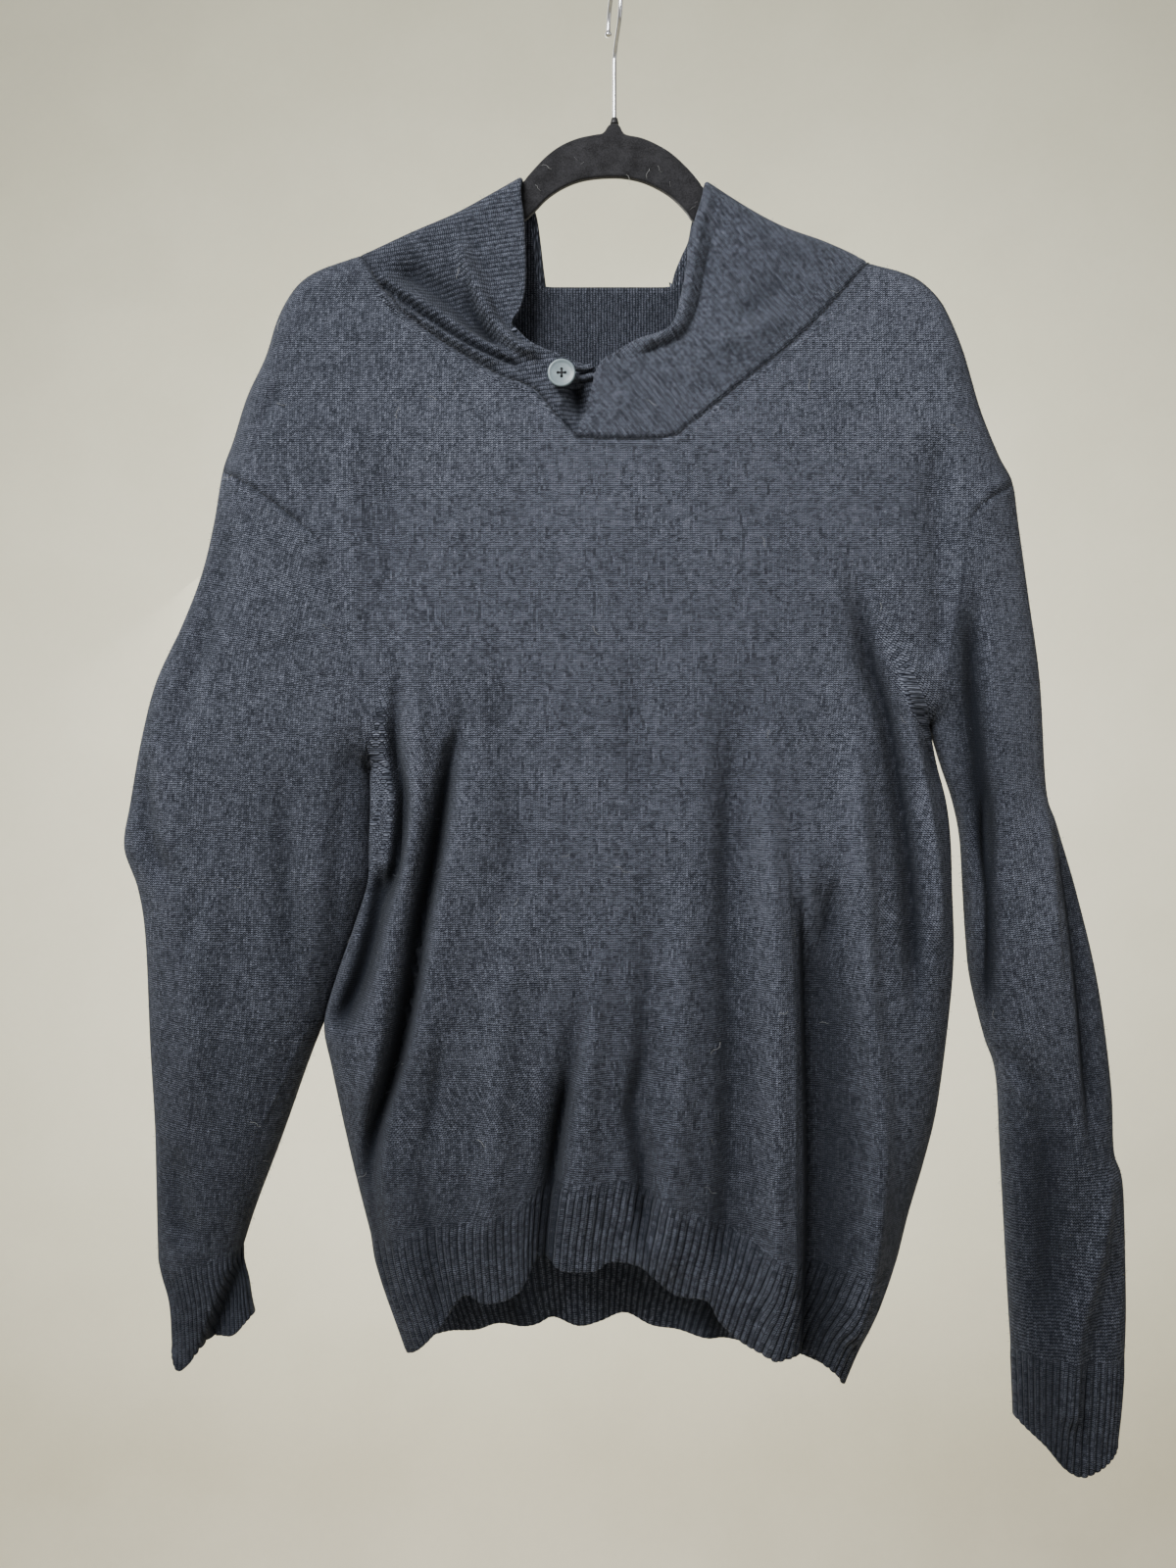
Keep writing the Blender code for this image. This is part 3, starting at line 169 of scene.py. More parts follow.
# Folds, each row (height, width on the viewer's left, width on the right, share of the path over which it
# rises, share over which it fades, path from its top down). A height below 0 is a trough.
FRONT_FOLDS = [
    (-21, 5, 6.5, 0.4, 0.25, [(-104, -450), (-99, -488), (-106, -513), (-113, -552), (-118, -581),
                              (-126, -624), (-131, -660), (-140, -703), (-150, -735), (-158, -770),
                              (-163, -805)]),
    (-4, 5, 6, 0.4, 0.4, [(-108, -670), (-112, -710), (-117, -745), (-121, -785)]),
    (6, 9, 6, 0.3, 0.1, [(-134, -400), (-131, -445), (-125, -506), (-129, -567), (-140, -610), (-147, -653),
                         (-152, -703), (-156, -760)]),
    (5, 7, 22, 0.3, 0.2, [(-90, -500), (-98, -562), (-113, -631), (-121, -680), (-131, -730)]),
    (-16, 4, 5, 0.65, 0.2, [(-134, -425), (-140, -468), (-142, -509), (-137, -542), (-141, -582),
                            (-150, -614)]),
    (-12, 8, 6, 0.75, 0, [(-16, -600), (-18, -645), (-25, -693), (-32, -731), (-40, -778), (-45, -840)]),
    (-7, 3.5, 3.5, 0.4, 0.3, [(-29, -710), (-36, -750), (-42, -800)]),
    (6, 10, 11, 0.3, 0.2, [(-62, -600), (-72, -680), (-76, -760), (-84, -850)]),
    (6, 11, 9, 0.3, 0.2, [(-8, -610), (-14, -680), (-20, -760), (-20, -835)]),
    (-10, 6.5, 8, 0.55, 0.1, [(17, -570), (20, -631), (18, -703), (12, -739), (17, -774), (20, -830)]),
    (6, 9, 9, 0.3, 0.1, [(42, -560), (43, -640), (42, -720), (36, -790), (34, -850)]),
    (-11, 10, 15, 0.3, 0.1, [(79, -440), (75, -498), (74, -560), (73, -631), (75, -703), (74, -757),
                             (72, -800), (70, -850)]),
    (8, 8, 8, 0.25, 0, [(97, -465), (97, -560), (101, -649), (101, -703), (101, -810), (101, -890)]),
    (5, 12, 2.2, 0.3, 0, [(103, -530), (108, -574), (111, -631), (113, -703), (113, -775), (113, -829),
                          (110, -895)]),
    (-19, 4, 24, 0.3, 0, [(118, -575), (122, -631), (124, -703), (125, -775), (124, -829), (121, -905)]),
    (5, 6, 5, 0.3, 0.4, [(121, -575), (125, -605), (130, -655)]),
    (-5, 5, 6, 0.4, 0.4, [(140, -585), (139, -612), (137, -640)]),
    (10, 8, 8, 0.25, 0, [(150, -480), (154, -523), (158, -595), (160, -667), (167, -739), (165, -810),
                         (154, -880)]),
    (-13, 9, 5.5, 0.3, 0.2, [(151, -370), (158, -413), (166, -452), (177, -488), (185, -542), (191, -595),
                             (193, -649), (192, -705)]),
    (8, 4, 7, 0.3, 0.25, [(176, -430), (190, -488), (200, -542), (208, -595), (210, -645)]),
    (-1.5, 3, 3, 0.4, 0.4, [(124, -436), (130, -455), (137, -476)]),
    (-6, 4, 4, 0.4, 0.4, [(203, -498), (207, -515), (212, -534)]),
    (-5, 5, 7, 0.4, 0, [(-150, -730), (-156, -785), (-148, -850)]),
    (-4, 5, 6, 0.4, 0, [(-126, -745), (-119, -810), (-112, -865)]),
    (3, 9, 8, 0.3, 0.3, [(-172, -300), (-171, -329), (-168, -399), (-160, -440)]),
    (-3, 9, 9, 0.3, 0.3, [(-152, -320), (-147, -365), (-143, -420)]),
    (-5, 10, 9, 0.3, 0.1, [(212, -285), (207, -333), (209, -381), (210, -416), (209, -455)]),
    (-20, 7, 8, 0.2, 0.15, [(-152, -580), (-153, -605), (-158, -632), (-167, -662), (-183, -694)]),
    (-5, 11, 11, 0.3, 0.3, [(-77, -420), (-70, -500), (-65, -560), (-70, -640)]),
    (-4, 10, 11, 0.4, 0.4, [(10, -430), (14, -500), (20, -570)]),
    (-3, 5, 6, 0.4, 0.4, [(-214, -262), (-222, -285), (-230, -304)]),
]
BACK_FOLDS = [
    (6, 16, 18, 0.2, 0, [(-110, -480), (-112, -620), (-118, -760), (-112, -905)]),
    (-9, 12, 14, 0.2, 0, [(-70, -520), (-62, -600), (-58, -700), (-60, -905)]),
    (6, 16, 16, 0.25, 0, [(-8, -500), (0, -680), (4, -900)]),
    (-9, 14, 9, 0.25, 0, [(50, -480), (62, -600), (64, -700), (62, -915)]),
    (7, 14, 18, 0.2, 0, [(112, -440), (128, -640), (122, -800), (112, -915)]),
    (-7, 10, 14, 0.25, 0, [(168, -520), (177, -600), (176, -680), (160, -840)]),
    (-8, 7, 11, 0.25, 0.1, [(-142, -500), (-146, -600), (-152, -700), (-150, -830)]),
    (-3, 10, 10, 0.3, 0.3, [(-30, -420), (-24, -520), (-30, -620)]),
    (-3, 12, 10, 0.3, 0.3, [(-196, -300), (-180, -380), (-170, -450)]),
    (-3, 10, 12, 0.3, 0.3, [(206, -300), (196, -380), (186, -450)]),
]
SLEEVE_LEFT_FOLDS = [
    (-5, 9, 9, 0.25, 0.25, [(-244, -345), (-254, -399), (-266, -439), (-278, -477), (-288, -525)]),
    (-8, 10, 7, 0.35, 0.35, [(-300, -505), (-304, -535), (-298, -575), (-276, -600)]),
    (4, 12, 10, 0.3, 0.3, [(-262, -560), (-266, -660), (-272, -760)]),
    (-3, 7, 7, 0.3, 0.3, [(-262, -585), (-268, -610), (-276, -650)]),
    (-5, 8, 7, 0.3, 0.3, [(-215, -500), (-211, -607), (-206, -680)]),
    (-3.5, 6, 6, 0.3, 0.3, [(-168, -480), (-176, -542), (-180, -591), (-184, -650), (-200, -700)]),
    (-1.5, 2.5, 2.5, 0.3, 0.3, [(-236, -449), (-214, -442), (-190, -436)]),
    (1.2, 1.5, 1.5, 0.2, 0.2, [(-196, -680), (-208, -706), (-219, -730), (-232, -757)]),
    (-5, 9, 9, 0.3, 0.3, [(-284, -760), (-284, -800), (-276, -836)]),
    (-13, 4, 11, 0.3, 0, [(-236, -800), (-243, -838), (-252, -862), (-262, -888), (-266, -900)]),
    (3, 3, 5, 0.3, 0.3, [(-172, -420), (-166, -448), (-160, -480), (-157, -510)]),
    (3, 4, 4, 0.3, 0.3, [(-203, -362), (-194, -378), (-190, -395)]),
]
SLEEVE_RIGHT_FOLDS = [
    (-8, 7, 6, 0.2, 0.2, [(232, -400), (231, -460), (235, -510), (241, -560), (246, -600)]),
    (-8, 3, 4, 0.25, 0.2, [(240, -520), (242, -575), (244, -618), (244, -690)]),
    (4, 4, 4, 0.3, 0.3, [(225, -520), (231, -572), (235, -618), (238, -660)]),
    (4, 9, 2.5, 0.3, 0.3, [(276, -520), (281, -560), (284, -620), (288, -670)]),
    (-11, 4, 11, 0.25, 0.3, [(287, -540), (293, -590), (299, -640), (306, -720), (310, -790)]),
    (-3, 4, 4, 0.4, 0.4, [(250, -694), (266, -716), (286, -738)]),
    (3, 4, 4, 0.4, 0.4, [(246, -704), (260, -726), (278, -748)]),
    (-7, 11, 11, 0.3, 0.3, [(270, -690), (279, -760), (283, -840), (282, -900)]),
    (5, 7, 5, 0.2, 0, [(324, -765), (316, -825), (307, -857), (299, -889), (296, -940)]),
    (-3, 6, 10, 0.3, 0, [(330, -790), (324, -840), (316, -880), (308, -920), (306, -960)]),
]
SLEEVE_LEFT_BACK_FOLDS = [
    (-7, 10, 13, 0.2, 0.2, [(-205, -520), (-214, -620), (-226, -700), (-242, -800)]),
    (5, 13, 13, 0.2, 0.2, [(-262, -560), (-268, -700), (-276, -820)]),
    (-5, 9, 9, 0.3, 0.3, [(-300, -500), (-300, -560), (-290, -620)]),
]
SLEEVE_RIGHT_BACK_FOLDS = [
    (-7, 9, 12, 0.2, 0.2, [(246, -480), (256, -560), (268, -660), (284, -800)]),
    (5, 12, 12, 0.2, 0.2, [(290, -600), (308, -740), (316, -870)]),
]
COLLAR_LEFT_FOLDS = [
    (5, 3, 2.4, 0.1, 0.1, [(-152, -208), (-143, -218), (-119, -234), (-96, -248), (-72, -260)]),
    (-5, 1.8, 1.8, 0.1, 0.1, [(-153, -202), (-143, -212), (-120, -228), (-97, -243), (-75, -254),
                              (-58, -260)]),
    (4.5, 3, 3, 0.1, 0.1, [(-152, -196), (-143, -206), (-118, -222), (-95, -237), (-73, -249), (-56, -255)]),
    (-9, 6, 9, 0.15, 0.15, [(-146, -190), (-124, -203), (-106, -216), (-90, -233), (-72, -245)]),
    (9, 3.2, 6, 0.2, 0.1, [(-106, -168), (-99, -188), (-92, -203), (-87, -216), (-78, -232), (-64, -247),
                           (-46, -255)]),
    (-5, 3, 2.5, 0.25, 0.15, [(-98, -200), (-94, -214), (-86, -232), (-72, -247), (-56, -257)]),
    (-6, 4, 5, 0.2, 0.3, [(-27, -270), (-23, -282), (-21, -297)]),
    (-3.5, 2, 3, 0.3, 0.2, [(-84, -206), (-76, -224), (-66, -238), (-54, -249)]),
]
COLLAR_RIGHT_FOLDS = [
    (4, 4, 4, 0.1, 0.1, [(64, -138), (56, -165), (51, -192), (47, -212), (41, -231), (29, -240), (8, -249)]),
    (-2.6, 1.8, 4, 0.2, 0.15, [(70, -155), (62, -180), (57, -205), (52, -225), (43, -240), (28, -247),
                               (10, -256)]),
    (3, 6, 7, 0.3, 0.3, [(118, -224), (82, -240), (47, -254)]),
    (-3.5, 9, 9, 0.3, 0.3, [(114, -202), (97, -216), (80, -226)]),
]

# Where the left collar end starts and stops sinking behind the right one, and how far it sinks
TUCK = (-37, -27, 6.0)

# Painted shades without a fold of their own, each row (darkness, width on the left, on the right, rise, fade,
# path). A darkness below 0 paints light.
FRONT_SHADES = [
    (0.55, 6, 20, 0.3, 0, [(131, -590), (135, -650), (138, -720), (138, -800), (134, -880)]),
]
SLEEVE_LEFT_SHADES = [
    (0.38, 22, 20, 0.1, 0.3, [(-264, -345), (-270, -378), (-286, -425), (-306, -478), (-316, -530)]),
]
SLEEVE_RIGHT_SHADES = [
    (0.75, 15, 14, 0.03, 0.15, [(211, -340), (213, -367), (219, -416), (225, -467), (233, -518), (232, -568),
                                (235, -618), (240, -669), (254, -725)]),
    (0.72, 24, 24, 0.3, 0, [(266, -720), (272, -770), (276, -840), (280, -900), (284, -970)]),
    (-0.55, 15, 15, 0.1, 0.2, [(257, -380), (259, -416), (263, -467), (269, -518), (272, -568), (276, -618),
                               (283, -669), (292, -719)]),
]

# Shares of the front's and back's width and height that their shoulders and armholes take up
SHOULDER_SHARE = 0.20
ARMHOLE_SHARE = 0.36
NECK_LEFT_SHARE = 0.43

# The collar's fall: the share of the fold that it leaves free at each end, the space inside its roll, and the
# height of its waves
FALL_MARGIN = 0.08
FALL_ROLL = 1.0
FALL_WAVE = 1.2

# How many ribs go round, and how many points and rows the shells have
HEM_RIBS = 72
CUFF_RIBS = 20
POINTS_PER_RIB = 6
SLEEVE_SPANS = 96
SLEEVE_ROWS = 176
HEM_ROWS = 17
CUFF_ROWS = 15

# The hanger: its arch's top and lower edges from the viewer's left to the right, its grommet as rows of
# (radius, height), and its hook
ARCH_TOP = [(-60.7, -131.6), (-52.4, -122), (-44.6, -114.1), (-35.2, -107.4), (-24.4, -102.8),
            (-13.4, -100.4), (-8.6, -99.6), (-6.4, -97.8), (-4.6, -95), (-2.6, -93.4), (0, -93.2),
            (2.4, -93.6), (4, -95.4), (5.4, -98.2), (8.2, -100.4), (17.8, -102.4), (27.2, -106.3),
            (36.6, -111.8), (44.4, -118.5), (52.2, -126.6), (58.8, -135.2)]
ARCH_LOW = [(-62, -158), (-57.1, -154.7), (-51.6, -149.3), (-44.6, -142.2), (-35.2, -135.7), (-24.4, -131),
            (-13.4, -128.8), (-2.5, -128.1), (6.9, -128.5), (17.8, -130.8), (27.2, -134.8), (35, -139.4),
            (41.3, -144.6), (47.5, -151.3), (51.4, -156.6), (60, -163)]
ARM_BAND = 20
ARM_DROP = 5.3
ARM_DROP_END = 3.3
ARM_POINTS = 12
HANGER_THICKNESS = 5.5
HANGER_ROUNDING = 1.5
GROMMET = [(0, -93.0), (2.9, -93.0), (2.7, -91.6), (2.2, -89.4), (1.9, -88.9), (0, -88.9)]
WIRE = 2.7
HOOK_INNER = 40
HOOK_TURN = 10
HOOK_BEND = (28, 268)
WIRE_LENGTH = 190
STEM_FOOT = -92.0
STEM_TOP = -52
BALL = 4.8

# The button and its loop
BUTTON = 18
BUTTON_THICK = 3.2
BUTTON_AT = (-34.5, -267)
BUTTON_RIM = 1.7
BUTTON_DISH = 0.8
HOLE = 1.9
HOLE_FROM_MIDDLE = 2.35
THREAD = 0.52
THREAD_SPREAD = 0.28
LOOP_CORD = 3.8
LOOP_SPREAD = 6.4
LOOP_REACH = (-14.8, -262)
GAP = 0.3

# The wool's colours as they are in even light, and the dark one that its painted shade goes down to
YARN = (0.060, 0.067, 0.090)
YARN_LIGHT = (0.29, 0.315, 0.40)
YARN_PAINTED_SHADE = (0.008, 0.010, 0.015)
FLECK = (0.30, 0.31, 0.33)

# The camera, in metres, and its angle of view from top to bottom
CAMERA_AT = (-0.01755, -0.850, -0.53025)
CAMERA_ANGLE = 62.92


# ---------------------------------------------------------------- lines and forms


def spline(points, per_span=6):
    """A smooth line through these points, as many short straight steps."""
    knots = np.array(points, float)
    knots = np.vstack([2 * knots[0] - knots[1], knots, 2 * knots[-1] - knots[-2]])
    t = np.linspace(0, 1, per_span, endpoint=False)[:, None]
    spans = []
    for a, b, c, d in zip(knots, knots[1:], knots[2:], knots[3:]):
        bend = (c - a) * t + (2 * a - 5 * b + 4 * c - d) * t**2 + (3 * b - a - 3 * c + d) * t**3
        spans.append(b + bend / 2)
    return np.vstack(spans + [knots[-2:-1]])


def along(line, shares):
    """The points at these shares of a line's length."""
    steps = np.linalg.norm(np.diff(line, axis=0), axis=1)
    lengths = np.concatenate([[0], np.cumsum(steps)]) / steps.sum()
    return np.column_stack([np.interp(shares, lengths, line[:, k]) for k in range(line.shape[1])])


def eased(spans, ends=0.0):
    """Shares from 0 to 1, closer together towards both ends where ends is above 0."""
    even = np.linspace(0, 1, spans + 1)
    return (1 - ends) * even + ends * (1 - np.cos(np.pi * even)) / 2


def line_length(line):
    return np.linalg.norm(np.diff(line, axis=0), axis=1).sum()


def lengths_down(points):
    """How far down its column each point of a grid lies, along the cloth."""
    step = np.linalg.norm(np.diff(points, axis=0), axis=2)
    return np.vstack([np.zeros((1, points.shape[1])), np.cumsum(step, 0)])


def unit_ways(line):
    """The unit direction of a line at each of its points."""
    way = np.gradient(line, axis=0)
    return way / np.linalg.norm(way, axis=1, keepdims=True)


def bell(gap, width):
    return np.exp(-((gap / width) ** 2))


def soft_step(share):
    share = np.clip(share, 0, 1)
    return share**2 * (3 - 2 * share)


def nearest(points, line):
    """Each point's distance to a line, its side of it, and the share of the line before it.

    The side runs from -1, left of a line that runs down, to 1.
    """
    start, step = line[:-1], np.diff(line, axis=0)
    square = (step**2).sum(1)
    found = []
    for block in np.array_split(points, max(1, len(points) // 3000)):
        offset = block[:, None] - start
        share = np.clip((offset * step).sum(2) / square, 0, 1)
        offset -= share[..., None] * step
        gap = np.hypot(offset[..., 0], offset[..., 1])
        row, k = np.arange(len(block)), gap.argmin(1)
        off, way = offset[row, k], step[k] / np.sqrt(square[k])[:, None]
        side = (way[:, 0] * off[:, 1] - way[:, 1] * off[:, 0]) / np.maximum(gap[row, k], 1e-6)
        found.append(np.column_stack([gap[row, k], side, (k + share[row, k]) / len(step)]))
    return np.vstack(found).T


def seam_strength(place, kept):
    """A seam's depth along it: whole over its first third, then down to the kept share of it."""
    return 1 - (1 - kept) * soft_step((place - 0.30) / 0.20)


class Form:
    """One face of the garment: how far the cloth stands from the hanger's plane over each (x, z).

    Folds are 1 mm high or more, and shades, which only paint shade or light on the cloth, are below 1.
    """

    def __init__(self, facing, depths, outlines, folds, seams=(), tuck=None, shades=()):
        self.facing = facing
        self.depths = np.array(sorted(depths), float)
        self.outlines = outlines
        self.folds = [(*fold[:5], spline(fold[5])) for fold in folds]
        self.shades = [(*shade[:5], spline(shade[5])) for shade in shades]
        self.seams = [(spline(seam), kept) for seam, kept in seams]
        self.tuck = tuck

    def column(self, place, z):
        return np.interp(z, self.depths[:, 0], self.depths[:, place])

    def folded(self, points):
        """How far the folds raise or sink each point, and the shade painted there for deep, narrow troughs
        and seams, or light for ridges.
        """
        out, painted_shade = np.zeros(len(points)), np.zeros(len(points))
        for amount, left, right, rise, fade, path in self.folds + self.shades:
            reach = FOLD_REACH * max(left, right)
            close = ((points > path.min(0) - reach) & (points < path.max(0) + reach)).all(1)
            if not close.any():
                continue
            gap, side, place = nearest(points[close], path)
            width = left + (right - left) * (0.5 + 0.5 * side)
            strength = amount * (soft_step(place / rise) if rise else 1.0)
            if fade:
                strength = strength * soft_step((1 - place) / fade)
            # Shade rows move no cloth: they only paint shade, or light where below 0
            if abs(amount) < 1:
                painted_shade[close] += strength * bell(gap, width)
                continue
            out[close] += strength * bell(gap, width)
            # A trough gets painted shade, and a ridge a share of it as painted light
            dark = strength * bell(gap, TROUGH_SHADE_SPREAD * width) / (width + TROUGH_SHADE_SOFTENING)
            painted_shade[close] -= np.where(dark < 0, dark, RIDGE_PAINTED_LIGHT_SHARE * dark)
        # Painted shade along each seam's groove, deeper between its stitches
        for seam, kept in self.seams:
            gap, _, place = nearest(points, seam)
            notch = 0.5 + 0.5 * np.cos(2 * math.pi * place * line_length(seam) / SEAM_PITCH)
            dark = SEAM_PAINTED_SHADE * bell(gap, SEAM_DARK_WIDTH)
            dark += NOTCH_PAINTED_SHADE * notch * bell(gap, NOTCH_WIDTH)
            painted_shade += dark * seam_strength(place, kept)
        return out, painted_shade

    def shade(self, grid):
        """The shade painted on each point of a grid, from 0 to 1 and deepest in a trough, or light painted
        below 0 on a ridge.
        """
        painted_shade = self.folded(grid.reshape(-1, 2))[1].reshape(grid.shape[:2])
        return np.clip(TROUGH_PAINTED_SHADE * painted_shade - 0.02, MOST_PAINTED_LIGHT, MOST_PAINTED_SHADE)

    def depth(self, points):
        points = np.asarray(points, float)
        z = points[:, 1]
        out = self.column(1 if self.facing < 0 else 2, z) + self.folded(points)[0]
        if self.tuck:
            start, end, amount = self.tuck
            out -= amount * soft_step((points[:, 0] - start) / (end - start))
        out = np.maximum(out, LEAST_DEPTH)
        for seam, kept in self.seams:
            gap, _, place = nearest(points, seam)
            ridge = SEAM_RIDGE * bell(gap - SEAM_RIDGE_FROM, SEAM_RIDGE_WIDTH)
            out += (ridge - SEAM_GROOVE * bell(gap, SEAM_GROOVE_WIDTH)) * seam_strength(place, kept)
        for outline in self.outlines:
            gap = nearest(points, outline)[0]
            near = np.clip(gap / self.column(3, z), 0, 1)
            out *= np.sqrt(1 - (1 - near) ** 2)
        return self.facing * (SEAM + out)

    def place(self, grid):
        flat = grid.reshape(-1, 2)
        return np.column_stack([flat[:, 0], self.depth(flat), flat[:, 1]]).reshape(*grid.shape[:2], 3)


def patch(top, bottom, left, right, us, vs, hold=1):
    """A grid of (x, z) points between four edges. A higher hold keeps the side edges' bends close to them."""
    u, v = us[None, :, None], vs[:, None, None]
    grid = (1 - v) * top[None] + v * bottom[None]
    for edge, share in ((left, (1 - u) ** hold), (right, u**hold)):
        straight = edge[0] + vs[:, None] * (edge[-1] - edge[0])
        grid = grid + share * (edge - straight)[:, None]
    return grid


def drawn_in(edge, neighbour, amount):
    step = neighbour - edge
    return edge + amount * step / np.linalg.norm(step, axis=-1, keepdims=True)


def outward(points, facing, closed=False):
    """Unit normals of a grid of points that runs to the viewer's right and down."""
    if closed:
        across = np.roll(points, -1, 1) - np.roll(points, 1, 1)
    else:
        across = np.gradient(points, axis=1)
    normal = np.cross(across, np.gradient(points, axis=0)) * facing
    return normal / np.maximum(np.linalg.norm(normal, axis=2, keepdims=True), 1e-9)


def width_and_height(grid, normals):
    """Where each point lies in the flat knit, in millimetres: the cloth's own width and its height."""
    slope = np.clip(np.abs(normals[..., 0] / np.maximum(np.abs(normals[..., 1]), 0.05)), 0, 3)
    reach = np.sqrt(1 + slope**2)
    step = np.diff(grid[..., 0], axis=1) * (reach[:, 1:] + reach[:, :-1]) / 2
    run = np.concatenate([np.zeros((len(grid), 1)), np.cumsum(step, 1)], 1)
    middle = grid.shape[1] // 2
    return np.dstack([grid[:, middle : middle + 1, 0] + run - run[:, middle : middle + 1], -grid[..., 1]])


def placed(name, data):
    """A new object in the scene with this mesh, curve, light or camera."""
    obj = bpy.data.objects.new(name, data)
    bpy.context.scene.collection.objects.link(obj)
    return obj


# The outer face of each shell, for the seams and fibres that lie on it
surfaces = {}


def grid_faces(rows, cols, closed, first, uv, every):
    """A grid's faces, for points that are counted on from first, and their places in the knit."""
    r, c = np.meshgrid(np.arange(rows - 1), np.arange(cols if closed else cols - 1), indexing="ij")
    d = (c + 1) % cols
    corners = np.stack([r * cols + c, r * cols + d, (r + 1) * cols + d, (r + 1) * cols + c], -1)
    coords = np.stack([uv[every * r, every * c], uv[every * r, every * (c + 1)],
                       uv[every * (r + 1), every * (c + 1)], uv[every * (r + 1), every * c]], -2)
    return first + corners.reshape(-1, 4), coords.reshape(-1, 4, 2)


def rim_loops(rows, cols, closed):
    """The places (row, column) round a sheet's whole rim, or round each end of a tube."""
    if closed:
        return [[(0, c) for c in range(cols + 1)], [(rows - 1, c) for c in range(cols, -1, -1)]]
    last = cols - 1
    return [[(0, c) for c in range(last)] + [(r, last) for r in range(rows - 1)]
            + [(rows - 1, c) for c in range(last, 0, -1)] + [(r, 0) for r in range(rows - 1, -1, -1)]]


def way_off(outer, r, c, closed, rounded):
    """The unit way off the cloth at a place on its rim, and whether each edge there is a rounded one."""
    rows, cols = outer.shape[:2]
    k = c % cols
    out, free = np.zeros(3), []
    for at, edge, step in ((r == 0, "top", (1, 0)), (r == rows - 1, "bottom", (-1, 0)),
                           (c == 0 and not closed, "left", (0, 1)),
                           (c == cols - 1 and not closed, "right", (0, -1))):
        if at:
            way = outer[r, k] - outer[r + step[0], k + step[1]]
            out += way / max(np.linalg.norm(way), 1e-9)
            free.append(edge in rounded)
    return out / max(np.linalg.norm(out), 1e-9), all(free)


def shell(name, outer, normals, thickness, uv, facing, rounded=(), closed=False, raised=None, painted_shade=None):
    """A thin closed shell with rounded free edges. Its inner face has half the outer one's rows and columns.

    rounded names the free edges among top, bottom, left and right. raised moves the outer face outwards, and
    the last argument gives the shade painted on each outer point, or painted light where below 0.
    """
    rows, cols = outer.shape[:2]
    rest = outer - thickness * normals
    if raised is not None:
        rest = rest - RELIEF_INSIDE * (raised.max() - raised)[..., None] * normals
        outer = outer + raised[..., None] * normals
    surfaces[name] = outer[::3, ::3]
    if painted_shade is None:
        painted_shade = np.zeros((rows, cols))
    painted_shades = [painted_shade.ravel(), painted_shade[::2, ::2].ravel()]
    inner = rest[::2, ::2]
    in_rows, in_cols = inner.shape[:2]
    verts = [outer.reshape(-1, 3), inner.reshape(-1, 3)]
    base = rows * cols
    count = base + in_rows * in_cols

    faces, coords = grid_faces(rows, cols, closed, 0, uv, 1)
    in_faces, in_coords = grid_faces(in_rows, in_cols, closed, base, uv, 2)
    faces, coords = list(map(list, faces)), list(coords)
    faces += [list(f[::-1]) for f in in_faces]
    coords += [c[::-1] for c in in_coords]

    for loop in rim_loops(rows, cols, closed):
        ring, inside, away, bulge, places, edge_painted_shades = [], [], [], [], [], []
        for r, c in loop:
            k = c % cols
            ring.append(outer[r, k])
            lo_r, hi_r, lo_c, hi_c = r - r % 2, r + r % 2, k - k % 2, (c + k % 2) % cols
            inside.append((rest[lo_r, lo_c] + rest[hi_r, hi_c]) / 2)
            off, free = way_off(outer, r, c, closed, rounded)
            away.append(off)
            bulge.append(EDGE_BULGE * free)
            places.append(uv[r, c])
            edge_painted_shades.append(painted_shade[r, k])
        # The rim's rounding, as a few steps from the outer face to the inner one
        ring, inside, away = map(np.array, (ring, inside, away))
        bulge, places = np.array(bulge)[:, None], np.array(places)
        half, centre = (ring - inside) / 2, (ring + inside) / 2
        size = np.linalg.norm(half, axis=1, keepdims=True)
        total = len(loop) - 1
        before = [r * cols + c % cols for r, c in loop]
        for step in range(1, EDGE_STEPS):
            turn = math.pi * step / EDGE_STEPS
            mid = centre + math.cos(turn) * half + math.sin(turn) * size * bulge * away
            verts.append(mid[:total])
            painted_shades.append(np.array(edge_painted_shades[:total]))
            now = [count + k % total for k in range(total + 1)]
            count += total
            for k in range(total):
                faces.append([before[k + 1], before[k], now[k], now[k + 1]])
                shift = np.array([0, thickness * 0.4])
                coords.append(np.array([places[k + 1] + (step - 1) * shift, places[k] + (step - 1) * shift,
                                        places[k] + step * shift, places[k + 1] + step * shift]))
            before = now
        # The inner face has every second point, so five corners close each step of it
        for k in range(0, total, 2):
            ends = [base + (r // 2) * in_cols + (c % cols) // 2 for r, c in (loop[k], loop[k + 2])]
            faces.append([before[k + 2], before[k + 1], before[k], ends[0], ends[1]])
            coords.append(np.array([places[k + 2], places[k + 1], places[k], places[k], places[k + 2]]))
    if facing < 0:
        faces = [f[::-1] for f in faces]
        coords = [c[::-1] for c in coords]
    mesh = bpy.data.meshes.new(name)
    mesh.from_pydata((np.vstack(verts) * MM).tolist(), [], [list(map(int, f)) for f in faces])
    layer = mesh.uv_layers.new(name="knit")
    layer.data.foreach_set("uv", np.vstack(coords).astype(np.float32).ravel())
    # Painted shade, with painted light below 0, goes to the materials as the trough attribute
    trough = mesh.attributes.new("trough", "FLOAT", "POINT")
    trough.data.foreach_set("value", np.concatenate(painted_shades).astype(np.float32))
    mesh.validate()
    mesh.shade_smooth()
    mesh.set_sharp_from_angle(angle=math.radians(SHARP_ANGLE))
    return placed(name, mesh)


def dress(obj, finish, slot, *nodes):
    """Gives a piece its material, hangs it on the body and lets it stand for its solids."""
    obj.data.materials.clear()
    obj.data.materials.append(finish)
    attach(obj, "root")
    if nodes:
        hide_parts(*nodes)
    return obj


# ---------------------------------------------------------------- shaders


